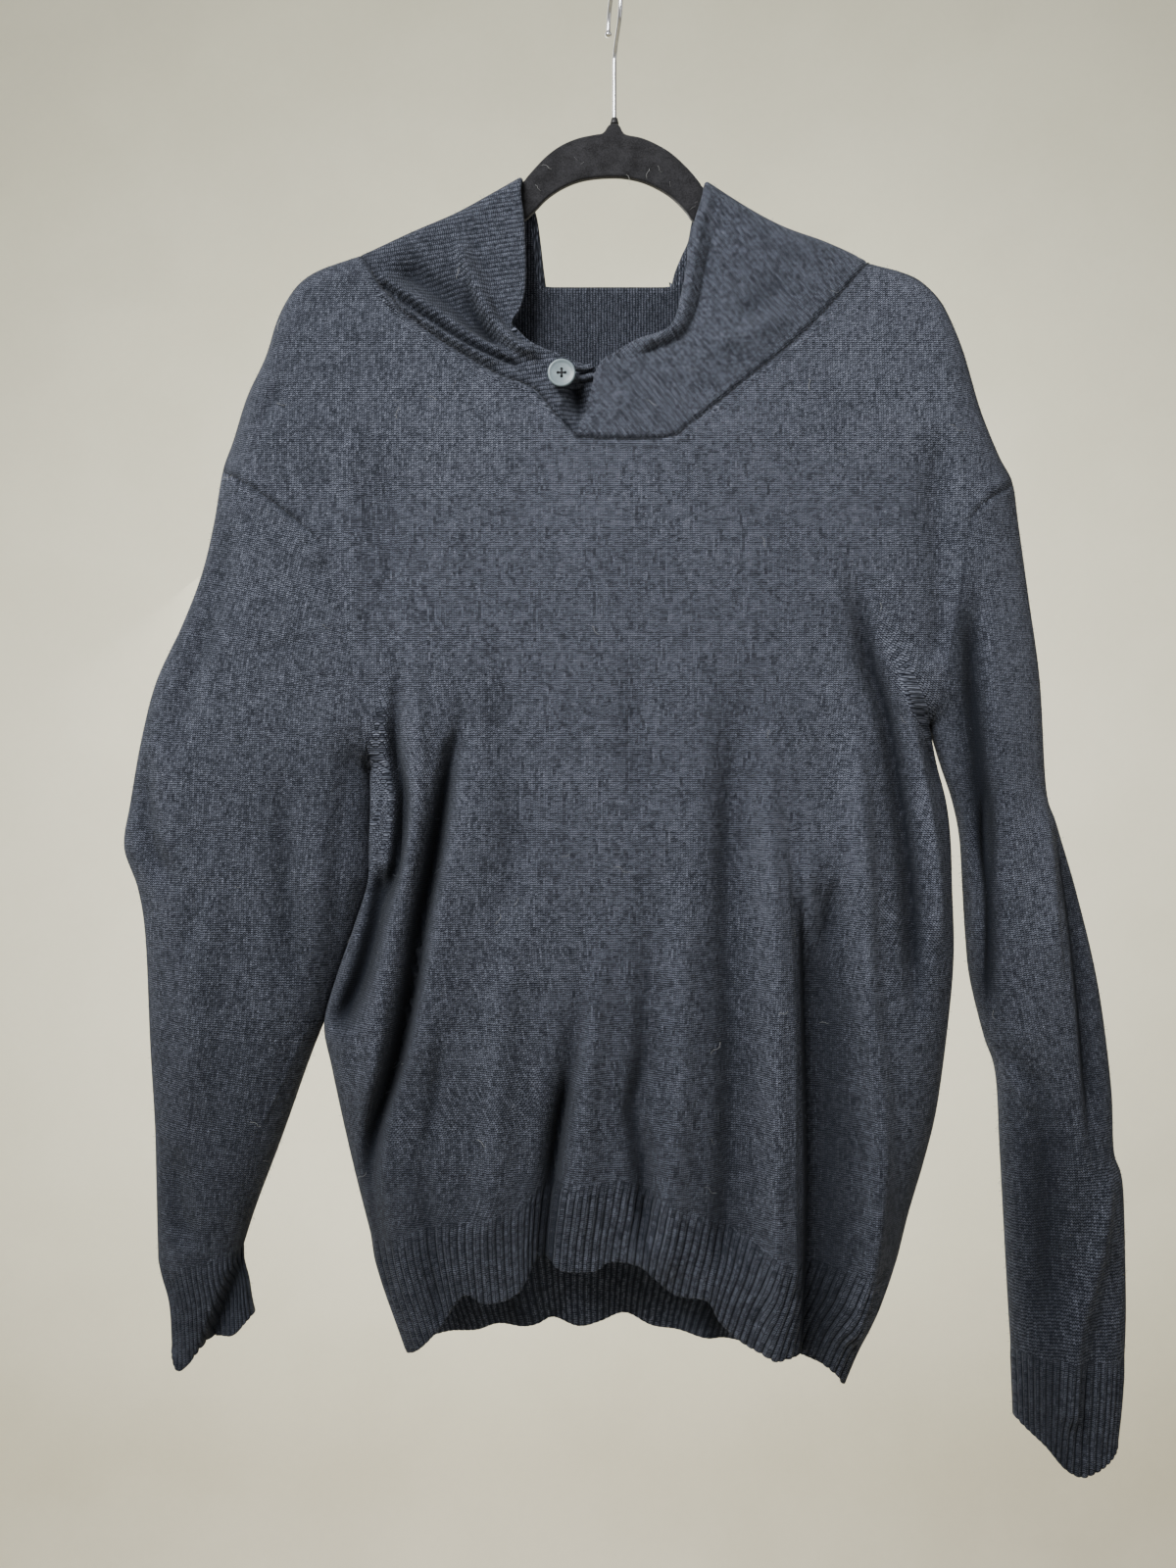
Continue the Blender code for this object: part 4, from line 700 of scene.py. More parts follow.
class Nodes:
    """Short ways to add and join shader nodes."""

    def __init__(self, tree):
        self.tree = tree

    def add(self, kind, *inputs, **settings):
        node = self.tree.nodes.new(kind)
        for key, value in settings.items():
            setattr(node, key, value)
        for k, value in enumerate(inputs):
            self.feed(node.inputs[k], value)
        return node

    def feed(self, socket, value):
        if isinstance(value, bpy.types.NodeSocket):
            self.tree.links.new(value, socket)
        elif value is not None:
            socket.default_value = value

    def math(self, operation, *inputs, clamp=False):
        return self.add("ShaderNodeMath", *inputs, operation=operation, use_clamp=clamp).outputs[0]

    def blend(self, share, a, b):
        node = self.add("ShaderNodeMix", data_type="RGBA")
        for name, value in (("Factor", share), ("A", a), ("B", b)):
            kind = "VALUE" if name == "Factor" else "RGBA"
            socket = next(s for s in node.inputs if s.name == name and s.type == kind)
            plain = kind == "VALUE" or isinstance(value, bpy.types.NodeSocket)
            self.feed(socket, value if plain else (*value, 1))
        return next(s for s in node.outputs if s.type == "RGBA")

    def ramp(self, value, low, high):
        node = self.add("ShaderNodeMapRange", value, low, high, 0.0, 1.0, interpolation_type="SMOOTHSTEP")
        return node.outputs[0]

    def noise(self, place, scale, detail=2.0, dimensions="3D"):
        node = self.add("ShaderNodeTexNoise", place, noise_dimensions=dimensions)
        set_inputs(node, {"Scale": scale, "Detail": detail})
        return node.outputs[0]

    def bump(self, height, strength, distance):
        node = self.add("ShaderNodeBump")
        set_inputs(node, {"Strength": strength, "Distance": distance})
        self.feed(node.inputs["Height"], height)
        return node.outputs[0]


def set_inputs(node, values):
    for label, value in values.items():
        node.inputs[label].default_value = value


def new_finish(name, preview):
    """A new material, the ways to add to its nodes, and its shader."""
    finish = bpy.data.materials.new(name)
    finish.use_nodes = True
    finish.diffuse_color = (*preview, 1)
    return finish, Nodes(finish.node_tree), finish.node_tree.nodes["Principled BSDF"]


def group(name, inputs, outputs):
    """A new shader group with these named float or vector inputs and outputs."""
    tree = bpy.data.node_groups.new(name, "ShaderNodeTree")
    for label, kind, value in inputs:
        socket = tree.interface.new_socket(label, in_out="INPUT", socket_type=kind)
        if value is not None:
            socket.default_value = value
    for label in outputs:
        tree.interface.new_socket(label, in_out="OUTPUT", socket_type="NodeSocketFloat")
    nodes = Nodes(tree)
    start = tree.nodes.new("NodeGroupInput")
    end = tree.nodes.new("NodeGroupOutput")
    return tree, nodes, start, end


def knit_group():
    """Rows of V stitches: their height, how much light reaches the yarn as shade painted between the stitches
    and in rib hollows, and each stitch's own tone.
    """
    tree, n, start, end = group(
        "Knit stitches",
        [("Place", "NodeSocketVector", None), ("Wale", "NodeSocketFloat", WALE),
         ("Course", "NodeSocketFloat", COURSE), ("Rib", "NodeSocketFloat", 6.0),
         ("Rib Depth", "NodeSocketFloat", 0.0)],
        ["Height", "Light", "Tone", "Fleck"])
    put = start.outputs
    split = n.add("ShaderNodeSeparateXYZ", put["Place"])
    wobble = n.noise(put["Place"], 0.35, 1.0, "2D")
    sway = n.math("MULTIPLY", n.math("SUBTRACT", wobble, 0.5), 1.1)
    u = n.math("DIVIDE", n.math("ADD", split.outputs[0], sway), put["Wale"])
    v = n.math("DIVIDE", n.math("ADD", split.outputs[1], sway), put["Course"])
    across = n.math("SUBTRACT", n.math("FRACT", u), 0.5)
    spread = n.math("ABSOLUTE", across)
    slant = n.math("SUBTRACT", v, n.math("MULTIPLY", spread, 1.1))
    from_leg = n.math("ABSOLUTE", n.math("SUBTRACT", n.math("MULTIPLY", spread, 4.0), 1.0))
    leg = n.math("SUBTRACT", 1.0, from_leg)
    middle = n.math("MULTIPLY_ADD", spread, -3.2, 0.75)
    leg = n.math("POWER", n.math("MAXIMUM", n.math("MAXIMUM", leg, middle), 0.0), 0.6)
    turn = n.math("COSINE", n.math("MULTIPLY", slant, 2 * math.pi))
    loop = n.math("MULTIPLY_ADD", turn, 0.46, 0.54)
    stitch = n.math("MULTIPLY", leg, loop)
    ribs = n.math("COSINE", n.math("MULTIPLY", n.math("DIVIDE", split.outputs[0], put["Rib"]), 2 * math.pi))
    rib = n.math("MULTIPLY", n.math("MULTIPLY_ADD", ribs, 0.5, 0.5), put["Rib Depth"])
    height = n.math("ADD", stitch, n.math("MULTIPLY", rib, 1.5))
    cell = n.add("ShaderNodeCombineXYZ", n.math("FLOOR", u), n.math("FLOOR", slant))
    chance = n.add("ShaderNodeTexWhiteNoise", cell.outputs[0], noise_dimensions="2D")
    # Painted shade in the hollows between the ribs
    shown = n.math("SUBTRACT", 1.0, n.math("MULTIPLY", n.math("SUBTRACT", put["Rib Depth"], rib), 0.9))
    run = n.add("ShaderNodeCombineXYZ", n.math("FLOOR", u), n.math("FLOOR", n.math("MULTIPLY", slant, 0.2)))
    streak = n.add("ShaderNodeTexWhiteNoise", run.outputs[0], noise_dimensions="2D")
    own_tone = n.math("MULTIPLY_ADD", chance.outputs["Value"], 0.60, 0.50)
    tone = n.math("MULTIPLY_ADD", streak.outputs["Value"], 0.40, own_tone)
    # The yarn's share of light: painted shade between the stitches and in rib hollows, times a random tone
    light = n.math("MULTIPLY", n.math("MULTIPLY", stitch, shown), tone)
    fleck = n.ramp(n.noise(put["Place"], 0.9, 2.0, "2D"), 0.70, 0.80)
    for label, value in (("Height", height), ("Light", light), ("Tone", chance.outputs["Value"]),
                         ("Fleck", fleck)):
        n.feed(end.inputs[label], value)
    return tree


def wool(name, stitches, tint=1.0, wale=WALE, course=COURSE, rib=6.0, rib_depth=0.0):
    """Dark heathered wool on the piece's own knit coordinates, with shade painted between its stitches, in
    its troughs and towards its hem and sides, and light painted on its ridges.
    """
    dull, light, deep = [tuple(tint * c for c in colour) for colour in (YARN, YARN_LIGHT, YARN_PAINTED_SHADE)]
    finish, n, shader = new_finish(name, dull)
    place = n.add("ShaderNodeUVMap", uv_map="knit").outputs[0]
    knit = n.add("ShaderNodeGroup", node_tree=stitches)
    for label, value in (("Place", place), ("Wale", wale), ("Course", course), ("Rib", rib),
                         ("Rib Depth", rib_depth)):
        n.feed(knit.inputs[label], value)
    spot = n.add("ShaderNodeTexCoord").outputs["Object"]
    cloudy = n.noise(spot, 24.0, 4.0)
    worn = n.noise(spot, 420.0, 2.0)
    amount = n.math("MULTIPLY_ADD", knit.outputs["Tone"], 0.30, n.math("MULTIPLY_ADD", cloudy, 0.30, 0.12))
    amount = n.math("MULTIPLY", amount, n.math("MULTIPLY_ADD", worn, 0.9, 0.55), clamp=True)
    yarn = n.blend(amount, dull, light)
    yarn = n.blend(n.math("MULTIPLY", knit.outputs["Fleck"], 0.35), yarn, FLECK)
    # Painted shade: the trough attribute, the stitches' share of light and the broad shade take the yarn down
    # to its shade colour
    trough = n.add("ShaderNodeAttribute", attribute_name="trough").outputs["Fac"]
    lit = n.math("MULTIPLY_ADD", knit.outputs["Light"], 1.75, -0.26)
    lit = n.math("MULTIPLY", lit, painted_broad_shade(n, spot))
    lit = n.math("MULTIPLY", lit, n.math("SUBTRACT", 1.0, trough), clamp=True)
    n.feed(shader.inputs["Base Color"], n.blend(lit, deep, yarn))
    n.feed(shader.inputs["Roughness"], n.math("MULTIPLY_ADD", knit.outputs["Light"], -0.12, 0.96))
    relief = n.math("ADD", knit.outputs["Height"], n.math("MULTIPLY", worn, 0.5))
    n.feed(shader.inputs["Normal"], n.bump(relief, 0.75, 0.0007))
    set_inputs(shader, {"Specular IOR Level": 0.15, "Sheen Weight": 0.07, "Sheen Roughness": 0.45,
                        "Sheen Tint": (0.72, 0.78, 0.90, 1)})
    return finish


def painted_broad_shade(n, spot):
    """Painted shade over the garment, where its light falls off: darker down to the hem, out to its two sides
    and on the left shoulder.
    """
    parts = n.add("ShaderNodeSeparateXYZ", spot)
    across, up = parts.outputs[0], parts.outputs[2]
    low = n.math("MULTIPLY", n.ramp(up, -0.46, -0.88), 0.48)
    right = n.math("MULTIPLY", n.ramp(across, 0.24, 0.34), 0.06)
    left = n.math("MULTIPLY", n.ramp(across, 0.02, -0.22), 0.27)
    left_shoulder = n.math("MULTIPLY", n.ramp(up, -0.40, -0.24), n.ramp(across, 0.0, -0.16))
    left = n.math("MULTIPLY_ADD", left_shoulder, 0.18, left)
    sides = n.math("SUBTRACT", 1.0, n.math("ADD", left, right))
    return n.math("MULTIPLY", n.math("SUBTRACT", 1.0, low), sides)


def plain_finish(name, colour, roughness, metallic=0.0, grain=900.0, depth=0.0001, strength=0.3, vary=0.25,
                 **coats):
    """A finish whose colour, roughness and surface vary finely over the piece.

    coats are more of the shader's inputs, with _ for each space of their names.
    """
    finish, n, shader = new_finish(name, colour)
    spot = n.add("ShaderNodeTexCoord").outputs["Object"]
    fine, broad = n.noise(spot, grain, 3.0), n.noise(spot, grain / 14)
    mix = n.math("MULTIPLY_ADD", fine, 0.6, n.math("MULTIPLY", broad, 0.4))
    dark = tuple(c * (1 - vary) for c in colour)
    light = tuple(min(1, c * (1 + vary)) for c in colour)
    n.feed(shader.inputs["Base Color"], n.blend(n.ramp(mix, 0.3, 0.7), dark, light))
    n.feed(shader.inputs["Roughness"], n.math("MULTIPLY_ADD", mix, 0.2, roughness - 0.1))
    n.feed(shader.inputs["Normal"], n.bump(fine, strength, depth))
    set_inputs(shader, {"Metallic": metallic, **{label.replace("_", " "): coats[label] for label in coats}})
    return finish


stitches = knit_group()
jersey = wool("Plain knit", stitches)
rib_wool = wool("Rib knit", stitches, wale=RIB_WALE, course=RIB_COURSE)
collar_wool = wool("Collar rib", stitches, wale=COLLAR_RIB / 2, course=COLLAR_COURSE, rib=COLLAR_RIB,
                   rib_depth=0.55)
end_wool = wool("Collar end", stitches, tint=0.92, wale=COLLAR_RIB / 2, course=RIB_COURSE, rib=COLLAR_RIB,
                rib_depth=0.3)
back_collar_wool = wool("Back collar rib", stitches, tint=0.95, wale=BACK_COLLAR_RIB / 2,
                        course=COLLAR_COURSE, rib=BACK_COLLAR_RIB, rib_depth=0.8)
# A lighter copy of the rib wool with painted light, for the hem's inner face that the lamps barely reach
inside_rib_painted_light = wool("Rib knit, inside, painted lighter", stitches, tint=2.3, wale=RIB_WALE, course=RIB_COURSE,
                       rib=2 * RIB_WALE, rib_depth=0.8)
cord_wool = wool("Knitted cord", stitches, tint=0.85, wale=1.2, course=COLLAR_COURSE)
flock = plain_finish("Black flock", (0.018, 0.018, 0.020), 0.95, grain=1600, depth=0.0003, strength=0.8,
                     vary=0.6, Sheen_Weight=0.5, Sheen_Roughness=0.4, Specular_IOR_Level=0.1)
wire_finish = plain_finish("Chromed wire", (0.72, 0.73, 0.75), 0.22, metallic=1.0, grain=500,
                           depth=0.00005, vary=0.08)
grommet_finish = plain_finish("Moulded black plastic", (0.012, 0.012, 0.013), 0.45, grain=700, vary=0.3)
thread_finish = plain_finish("Sewing thread", (0.010, 0.010, 0.012), 0.85, grain=2500, strength=0.8, vary=0.5)
button_finish = plain_finish("Grey-blue button", (0.16, 0.205, 0.225), 0.34, grain=260, depth=0.00008,
                             vary=0.12, Coat_Weight=0.25, Coat_Roughness=0.25)
stitch_yarn = plain_finish("Seam yarn", (0.016, 0.018, 0.024), 0.95, grain=2600, strength=0.6, vary=0.5)
fuzz_finish = plain_finish("Wool fuzz", (0.10, 0.11, 0.135), 0.95, vary=0.5)
lint_finish = plain_finish("Pale lint", (0.42, 0.43, 0.42), 0.9, vary=0.3)


# ---------------------------------------------------------------- the garment's forms

outline_left = spline(COLLAR_TOP_LEFT + SHOULDER_LEFT[1:] + SLEEVE_OUTER_LEFT[1:] + CUFF_OUTER_LEFT[1:])
outline_right = spline(COLLAR_TOP_RIGHT + SHOULDER_RIGHT[1:] + SLEEVE_OUTER_RIGHT[1:] + CUFF_OUTER_RIGHT[1:])
side_left = spline(SIDE_LEFT + HEM_SIDE_LEFT[1:])
side_right = spline(SIDE_RIGHT + HEM_SIDE_RIGHT[1:])
inner_left = spline(SLEEVE_INNER_LEFT + CUFF_INNER_LEFT[1:])
inner_right = spline(SLEEVE_INNER_RIGHT + CUFF_INNER_RIGHT[1:])

whole = [outline_left, outline_right, side_left, side_right]
collar_folds = COLLAR_LEFT_FOLDS + COLLAR_RIGHT_FOLDS
arm_seams = [(ARMHOLE_LEFT, 0.3), (ARMHOLE_RIGHT, 0.15)]
front_seams, back_seams = [(NECK_LEFT, 1), (NECK_RIGHT, 1)], [(NECK_BACK, 1)]
front_form = Form(-1, BODY_DEPTHS, whole, FRONT_FOLDS + collar_folds, arm_seams + front_seams,
                  shades=FRONT_SHADES)
back_form = Form(1, BODY_DEPTHS, whole, BACK_FOLDS, arm_seams + back_seams)
collar_left_form = Form(-1, BODY_DEPTHS, whole[:2], collar_folds, front_seams[:1], tuck=TUCK)
collar_right_form = Form(-1, BODY_DEPTHS, whole[:2], collar_folds, front_seams[1:])
collar_back_form = Form(1, BODY_DEPTHS, whole[:2], [], back_seams)
left_forms = [Form(-1, SLEEVE_DEPTHS, [outline_left, inner_left], SLEEVE_LEFT_FOLDS, arm_seams[:1],
                   shades=SLEEVE_LEFT_SHADES),
              Form(1, SLEEVE_DEPTHS, [outline_left, inner_left], SLEEVE_LEFT_BACK_FOLDS, arm_seams[:1])]
right_forms = [Form(-1, SLEEVE_DEPTHS, [inner_right, outline_right], SLEEVE_RIGHT_FOLDS, arm_seams[1:],
                    shades=SLEEVE_RIGHT_SHADES),
               Form(1, SLEEVE_DEPTHS, [inner_right, outline_right], SLEEVE_RIGHT_BACK_FOLDS, arm_seams[1:])]


def make_body(name, form, neck, neck_shares, rib_top, spans, rows):
    """The front or the back. Its top edge is a shoulder, the neck seam and the other shoulder.

    spans counts the steps across a shoulder and the neck, and rows those beside and below the armhole.
    """
    shoulder_spans, neck_spans = spans
    arm_rows, low_rows = rows
    arm_share = eased(shoulder_spans, 0.5)
    left_shoulder = along(spline(SHOULDER_LEFT), 1 - arm_share)
    right_shoulder = along(spline(SHOULDER_RIGHT), arm_share)
    even = eased(neck_spans, 0.35)
    neck_line = np.column_stack([np.interp(even, neck_shares, neck[:, k]) for k in range(2)])
    top = np.vstack([left_shoulder, neck_line[1:], right_shoulder[1:]])
    us = np.concatenate([SHOULDER_SHARE * arm_share, SHOULDER_SHARE + (1 - 2 * SHOULDER_SHARE) * even[1:],
                         1 - SHOULDER_SHARE * (1 - arm_share[1:])])
    arm = eased(arm_rows, 0.55)
    down = eased(low_rows, 0.25)
    left = np.vstack([along(spline(ARMHOLE_LEFT), arm), along(spline(SIDE_LEFT), down)[1:]])
    right = np.vstack([along(spline(ARMHOLE_RIGHT), arm), along(spline(SIDE_RIGHT), down)[1:]])
    vs = np.concatenate([ARMHOLE_SHARE * arm, ARMHOLE_SHARE + (1 - ARMHOLE_SHARE) * down[1:]])
    grid = patch(top, along(spline(rib_top), us), left, right, us, vs, hold=5)
    outer = form.place(grid)
    normals = outward(outer, form.facing)
    return shell(name, outer, normals, KNIT, width_and_height(grid, normals), form.facing,
                 painted_shade=form.shade(grid))


def neck_points(left, right):
    """The front neck seam as many points, with the share of each across it."""
    steps = np.linspace(0, 1, 60)
    line = np.vstack([along(spline(left), steps), along(spline(right), steps)[1:]])
    right_shares = NECK_LEFT_SHARE + (1 - NECK_LEFT_SHARE) * steps[1:]
    return line, np.concatenate([NECK_LEFT_SHARE * steps, right_shares])


def make_hem(name, form, rib_top, edge):
    us = np.linspace(0, 1, HEM_RIBS * POINTS_PER_RIB + 1)
    vs = np.linspace(0, 1, HEM_ROWS)
    grid = patch(along(spline(rib_top), us), along(spline(edge), us), along(spline(HEM_SIDE_LEFT), vs),
                 along(spline(HEM_SIDE_RIGHT), vs), us, vs)
    outer = form.place(grid)
    normals = outward(outer, form.facing)
    relief = rib_relief(us * HEM_RIBS, vs)
    return shell(name, outer, normals, RIB_KNIT, rib_coords(us * HEM_RIBS, outer), form.facing, ("bottom",),
                 raised=relief, painted_shade=np.clip(form.shade(grid) + rib_trough_painted_shade(relief), 0, 1))


def rib_relief(ribs, vs):
    """Rounded ribs with narrow troughs between them, lower at the seam above."""
    wave = np.abs(np.cos(np.pi * ribs)) ** 0.7
    return RIB_HEIGHT * (wave - 0.55)[None, :] * np.clip(0.1 + vs / 0.2, 0, 1)[:, None]


def rib_trough_painted_shade(relief):
    """The shade painted in the narrow troughs between the ribs."""
    return 0.95 * np.clip((0.15 - relief) / 0.8, 0, 1)


def rib_coords(ribs, outer):
    """Two wales to a rib, and the length down each column."""
    length = lengths_down(outer)
    return np.dstack([np.broadcast_to(ribs * 2 * RIB_WALE, length.shape), length])


def make_tube(name, forms, grid, thickness, coords, raised=None, rounded=()):
    """A flattened tube: its front from left to right, then its back from right to left."""
    faces = [form.place(grid) for form in forms]
    for face in faces:
        face[:, [0, -1], 1] = 0
    outer = np.concatenate([faces[0], faces[1][:, -2:0:-1]], axis=1)
    painted_shade = np.concatenate([forms[0].shade(grid), forms[1].shade(grid)[:, -2:0:-1]], axis=1)
    if raised is not None:
        painted_shade = np.clip(painted_shade + rib_trough_painted_shade(raised), 0, 1)
    normals = outward(outer, -1, closed=True)
    return shell(name, outer, normals, thickness, coords(outer), -1, rounded, closed=True, raised=raised,
                 painted_shade=painted_shade)


def sleeve_coords(line, columns):
    """Wales follow the sleeve's own line: distance across it, and length down it."""
    axis = spline(line, 10)
    length = line_length(axis)

    def coords(outer):
        flat = outer[..., [0, 2]].reshape(-1, 2)
        gap, side, place = nearest(flat, axis)
        off = (gap * side).reshape(outer.shape[:2])
        down = (place * length).reshape(outer.shape[:2])
        wide = np.concatenate([off, off[:, :1]], 1)
        y = np.concatenate([outer[..., 1], outer[:, :1, 1]], 1)
        step = np.hypot(np.diff(wide, axis=1), np.diff(y, axis=1))
        run = np.concatenate([np.zeros((len(outer), 1)), np.cumsum(step, 1)], 1)
        middle = columns // 2
        run = run - run[:, middle : middle + 1] + wide[:, middle : middle + 1]
        return np.dstack([run, np.concatenate([down, down[:, :1]], 1)])

    return coords


def make_sleeve(name, forms, armhole, left, right, line, flip):
    """A sleeve from its armhole down to the cuff. flip says that the armhole runs from right to left."""
    us = eased(SLEEVE_SPANS, 0.7)
    vs = eased(SLEEVE_ROWS, 0.2)
    top = along(spline(armhole), us)
    if flip:
        top = top[::-1]
    left_edge = along(spline(left), vs)
    right_edge = along(spline(right), vs)
    bottom = left_edge[-1] + us[:, None] * (right_edge[-1] - left_edge[-1])
    grid = patch(top, bottom, left_edge, right_edge, us, vs)
    return make_tube(name, forms, grid, KNIT, sleeve_coords(line, SLEEVE_SPANS))


def make_cuff(name, forms, left, right, edge):
    us = eased(CUFF_RIBS * POINTS_PER_RIB, 0.5)
    vs = np.linspace(0, 1, CUFF_ROWS)
    left_edge = along(spline(left), vs)
    right_edge = along(spline(right), vs)
    top = left_edge[0] + us[:, None] * (right_edge[0] - left_edge[0])
    grid = patch(top, along(spline(edge), us), left_edge, right_edge, us, vs)
    ribs = np.linspace(0, 2 * CUFF_RIBS, 2 * CUFF_RIBS * POINTS_PER_RIB, endpoint=False)

    def coords(outer):
        uv = rib_coords(ribs, outer)
        last = uv[:, :1].copy()
        last[..., 0] = 2 * CUFF_RIBS * 2 * RIB_WALE
        return np.concatenate([uv, last], 1)

    return make_tube(name, forms, grid, RIB_KNIT, coords, rib_relief(ribs, vs), ("bottom",))


def leaning_coords(grid, angle):
    """The knit's rows lie at an angle to the horizontal."""
    turn = math.radians(angle)
    x, z = grid[..., 0], grid[..., 1]
    return np.dstack([z * math.cos(turn) - x * math.sin(turn), x * math.cos(turn) + z * math.sin(turn)])


def make_collar(name, form, top, bottom, left, right, spans, lean, rounded):
    """One end of the collar band, from its free edge down to the neck seam. lean turns its ribs."""
    us, vs = eased(spans[0], 0.3), eased(spans[1], 0.3)
    grid = patch(along(top, us), along(bottom, us), along(left, vs), along(right, vs), us, vs)
    grid[-1] = drawn_in(grid[-1], grid[-2], NECK_TURN_IN)
    outer = form.place(grid)
    return shell(name, outer, outward(outer, form.facing), COLLAR_BAND, leaning_coords(grid, lean),
                 form.facing, rounded, painted_shade=form.shade(grid))


def make_collar_left():
    bottom = np.vstack([spline(NECK_LEFT), [COLLAR_END_LEFT[-1]]])
    return make_collar("rib_collar_left", collar_left_form, spline(COLLAR_EDGE_LEFT), bottom,
                       spline(COLLAR_TOP_LEFT), spline(COLLAR_END_LEFT), spans=(150, 60), lean=9,
                       rounded=("top", "left", "right"))


def make_collar_right():
    return make_collar("rib_collar_right", collar_right_form, spline(COLLAR_EDGE_RIGHT), spline(NECK_RIGHT),
                       spline(COLLAR_END_RIGHT), spline(COLLAR_TOP_RIGHT), spans=(160, 60), lean=-52,
                       rounded=("top", "left"))


def make_collar_back():
    """The stand at the back, from its fold down to the neck seam."""
    us, vs = eased(160, 0.3), eased(40, 0.2)
    stand = patch(along(spline(COLLAR_FOLD), us), along(spline(NECK_BACK), us),
                  along(spline(COLLAR_TOP_LEFT), vs), along(spline(COLLAR_TOP_RIGHT), vs), us, vs)
    stand[-1] = drawn_in(stand[-1], stand[-2], NECK_TURN_IN)
    outer = collar_back_form.place(stand)
    return shell("rib_collar_back", outer, outward(outer, 1), COLLAR_BAND, stand, 1)


def make_collar_fall():
    """The part of the band that rolls over the stand's fold and hangs behind it."""
    us = FALL_MARGIN + (1 - 2 * FALL_MARGIN) * eased(120, 0.2)
    top = along(spline(COLLAR_FOLD), us)
    way = unit_ways(top)
    up = np.column_stack([-way[:, 1], np.zeros(len(top)), way[:, 0]])
    behind = np.array([0, 1.0, 0])
    fold_depth = collar_back_form.depth(top)
    centre = np.column_stack([top[:, 0], fold_depth, top[:, 1]]) + FALL_ROLL * behind + GAP * up
    radius = FALL_ROLL + COLLAR_BAND
    rows = [centre + radius * (math.sin(a) * up - math.cos(a) * behind) for a in np.linspace(0, math.pi, 13)]
    free = along(spline(FALL_EDGE), np.linspace(0, 1, len(us)))
    for share in eased(28, 0.2)[1:]:
        points = top + share * (free - top)
        stand = collar_back_form.depth(points)
        hang = np.maximum(centre[:, 1] + FALL_ROLL + share * (stand - fold_depth), stand + 2 * FALL_ROLL)
        hang += COLLAR_BAND + FALL_WAVE * math.sin(3 * share) * np.sin(us * 19)
        rows.append(np.column_stack([points[:, 0], hang, points[:, 1]]))
    outer = np.array(rows)
    coords = np.dstack([outer[..., 0], lengths_down(outer)])
    return shell("rib_collar_fall", outer, outward(outer, 1), COLLAR_BAND, coords, 1,
                 ("top", "bottom", "left", "right"))


neck_line, neck_shares = neck_points(NECK_LEFT, NECK_RIGHT)
back_neck_shares = np.linspace(0, 1, 120)
back_neck_line = along(spline(NECK_BACK), back_neck_shares)
front = make_body("knit_front", front_form, neck_line, neck_shares, RIB_TOP_FRONT, (46, 156), (72, 116))
back = make_body("knit_back", back_form, back_neck_line, back_neck_shares, RIB_TOP_BACK, (36, 96), (56, 84))
hem_front = make_hem("rib_hem_front", front_form, RIB_TOP_FRONT, HEM_EDGE_FRONT)
hem_back = make_hem("rib_hem_back", back_form, RIB_TOP_BACK, HEM_EDGE_BACK)
arm_left = make_sleeve("knit_sleeve_left", left_forms, ARMHOLE_LEFT, SLEEVE_OUTER_LEFT, SLEEVE_INNER_LEFT,
                       SLEEVE_LINE_LEFT, False)
arm_right = make_sleeve("knit_sleeve_right", right_forms, ARMHOLE_RIGHT, SLEEVE_INNER_RIGHT,
                        SLEEVE_OUTER_RIGHT, SLEEVE_LINE_RIGHT, True)
wrist_left = make_cuff("rib_cuff_left", left_forms, CUFF_OUTER_LEFT, CUFF_INNER_LEFT, CUFF_EDGE_LEFT)
wrist_right = make_cuff("rib_cuff_right", right_forms, CUFF_INNER_RIGHT, CUFF_OUTER_RIGHT, CUFF_EDGE_RIGHT)
band_left = make_collar_left()
band_right = make_collar_right()
band_back = make_collar_back()
band_fall = make_collar_fall()

dress(front, jersey, "jersey", "front")
dress(back, jersey, "jersey", "back")
dress(arm_left, jersey, "jersey", "sleeve_left")
dress(arm_right, jersey, "jersey", "sleeve_right")
dress(hem_front, rib_wool, "rib", "hem_front")
dress(hem_back, inside_rib_painted_light, "rib", "hem_back")
dress(wrist_left, rib_wool, "rib", "cuff_left")
dress(wrist_right, rib_wool, "rib", "cuff_right")
dress(band_left, collar_wool, "collar", "collar_left")
dress(band_right, end_wool, "collar", "collar_right")
dress(band_back, back_collar_wool, "collar", "collar_back")
dress(band_fall, back_collar_wool, "collar", "collar_fall")

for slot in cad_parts["button_shank"].material_slots:
    slot.material = thread_finish


# ---------------------------------------------------------------- button and loop


def clear_depth(form, x, z, reach):
    """How far out the cloth comes at most, within this reach of a point."""
    turn = np.linspace(0, 2 * math.pi, 13)
    return form.depth(np.array([x, z]) + reach * np.column_stack([np.cos(turn), np.sin(turn)])).min()


def turned(name, profile, steps, upright):
    """A solid turned from rows of (radius, height), round z where upright, or else round the viewer's way."""
    body = bmesh.new()
    rings = []
    for r, h in profile:
        turns = [0] if r == 0 else np.linspace(0, 2 * math.pi, steps, endpoint=False)
        ring = []
        for t in turns:
            x, y = r * math.cos(t), r * math.sin(t)
            ring.append(body.verts.new((x, y, h) if upright else (x, -h, y)))
        rings.append(ring * steps if r == 0 else ring)
    for a, b in zip(rings, rings[1:]):
        for k in range(steps):
            corners = [a[k], a[(k + 1) % steps], b[(k + 1) % steps], b[k]]
            body.faces.new(list(dict.fromkeys(corners)))
    bmesh.ops.recalc_face_normals(body, faces=body.faces)
    mesh = bpy.data.meshes.new(name)
    body.to_mesh(mesh)
    body.free()
    mesh.shade_smooth()
    return placed(name, mesh)


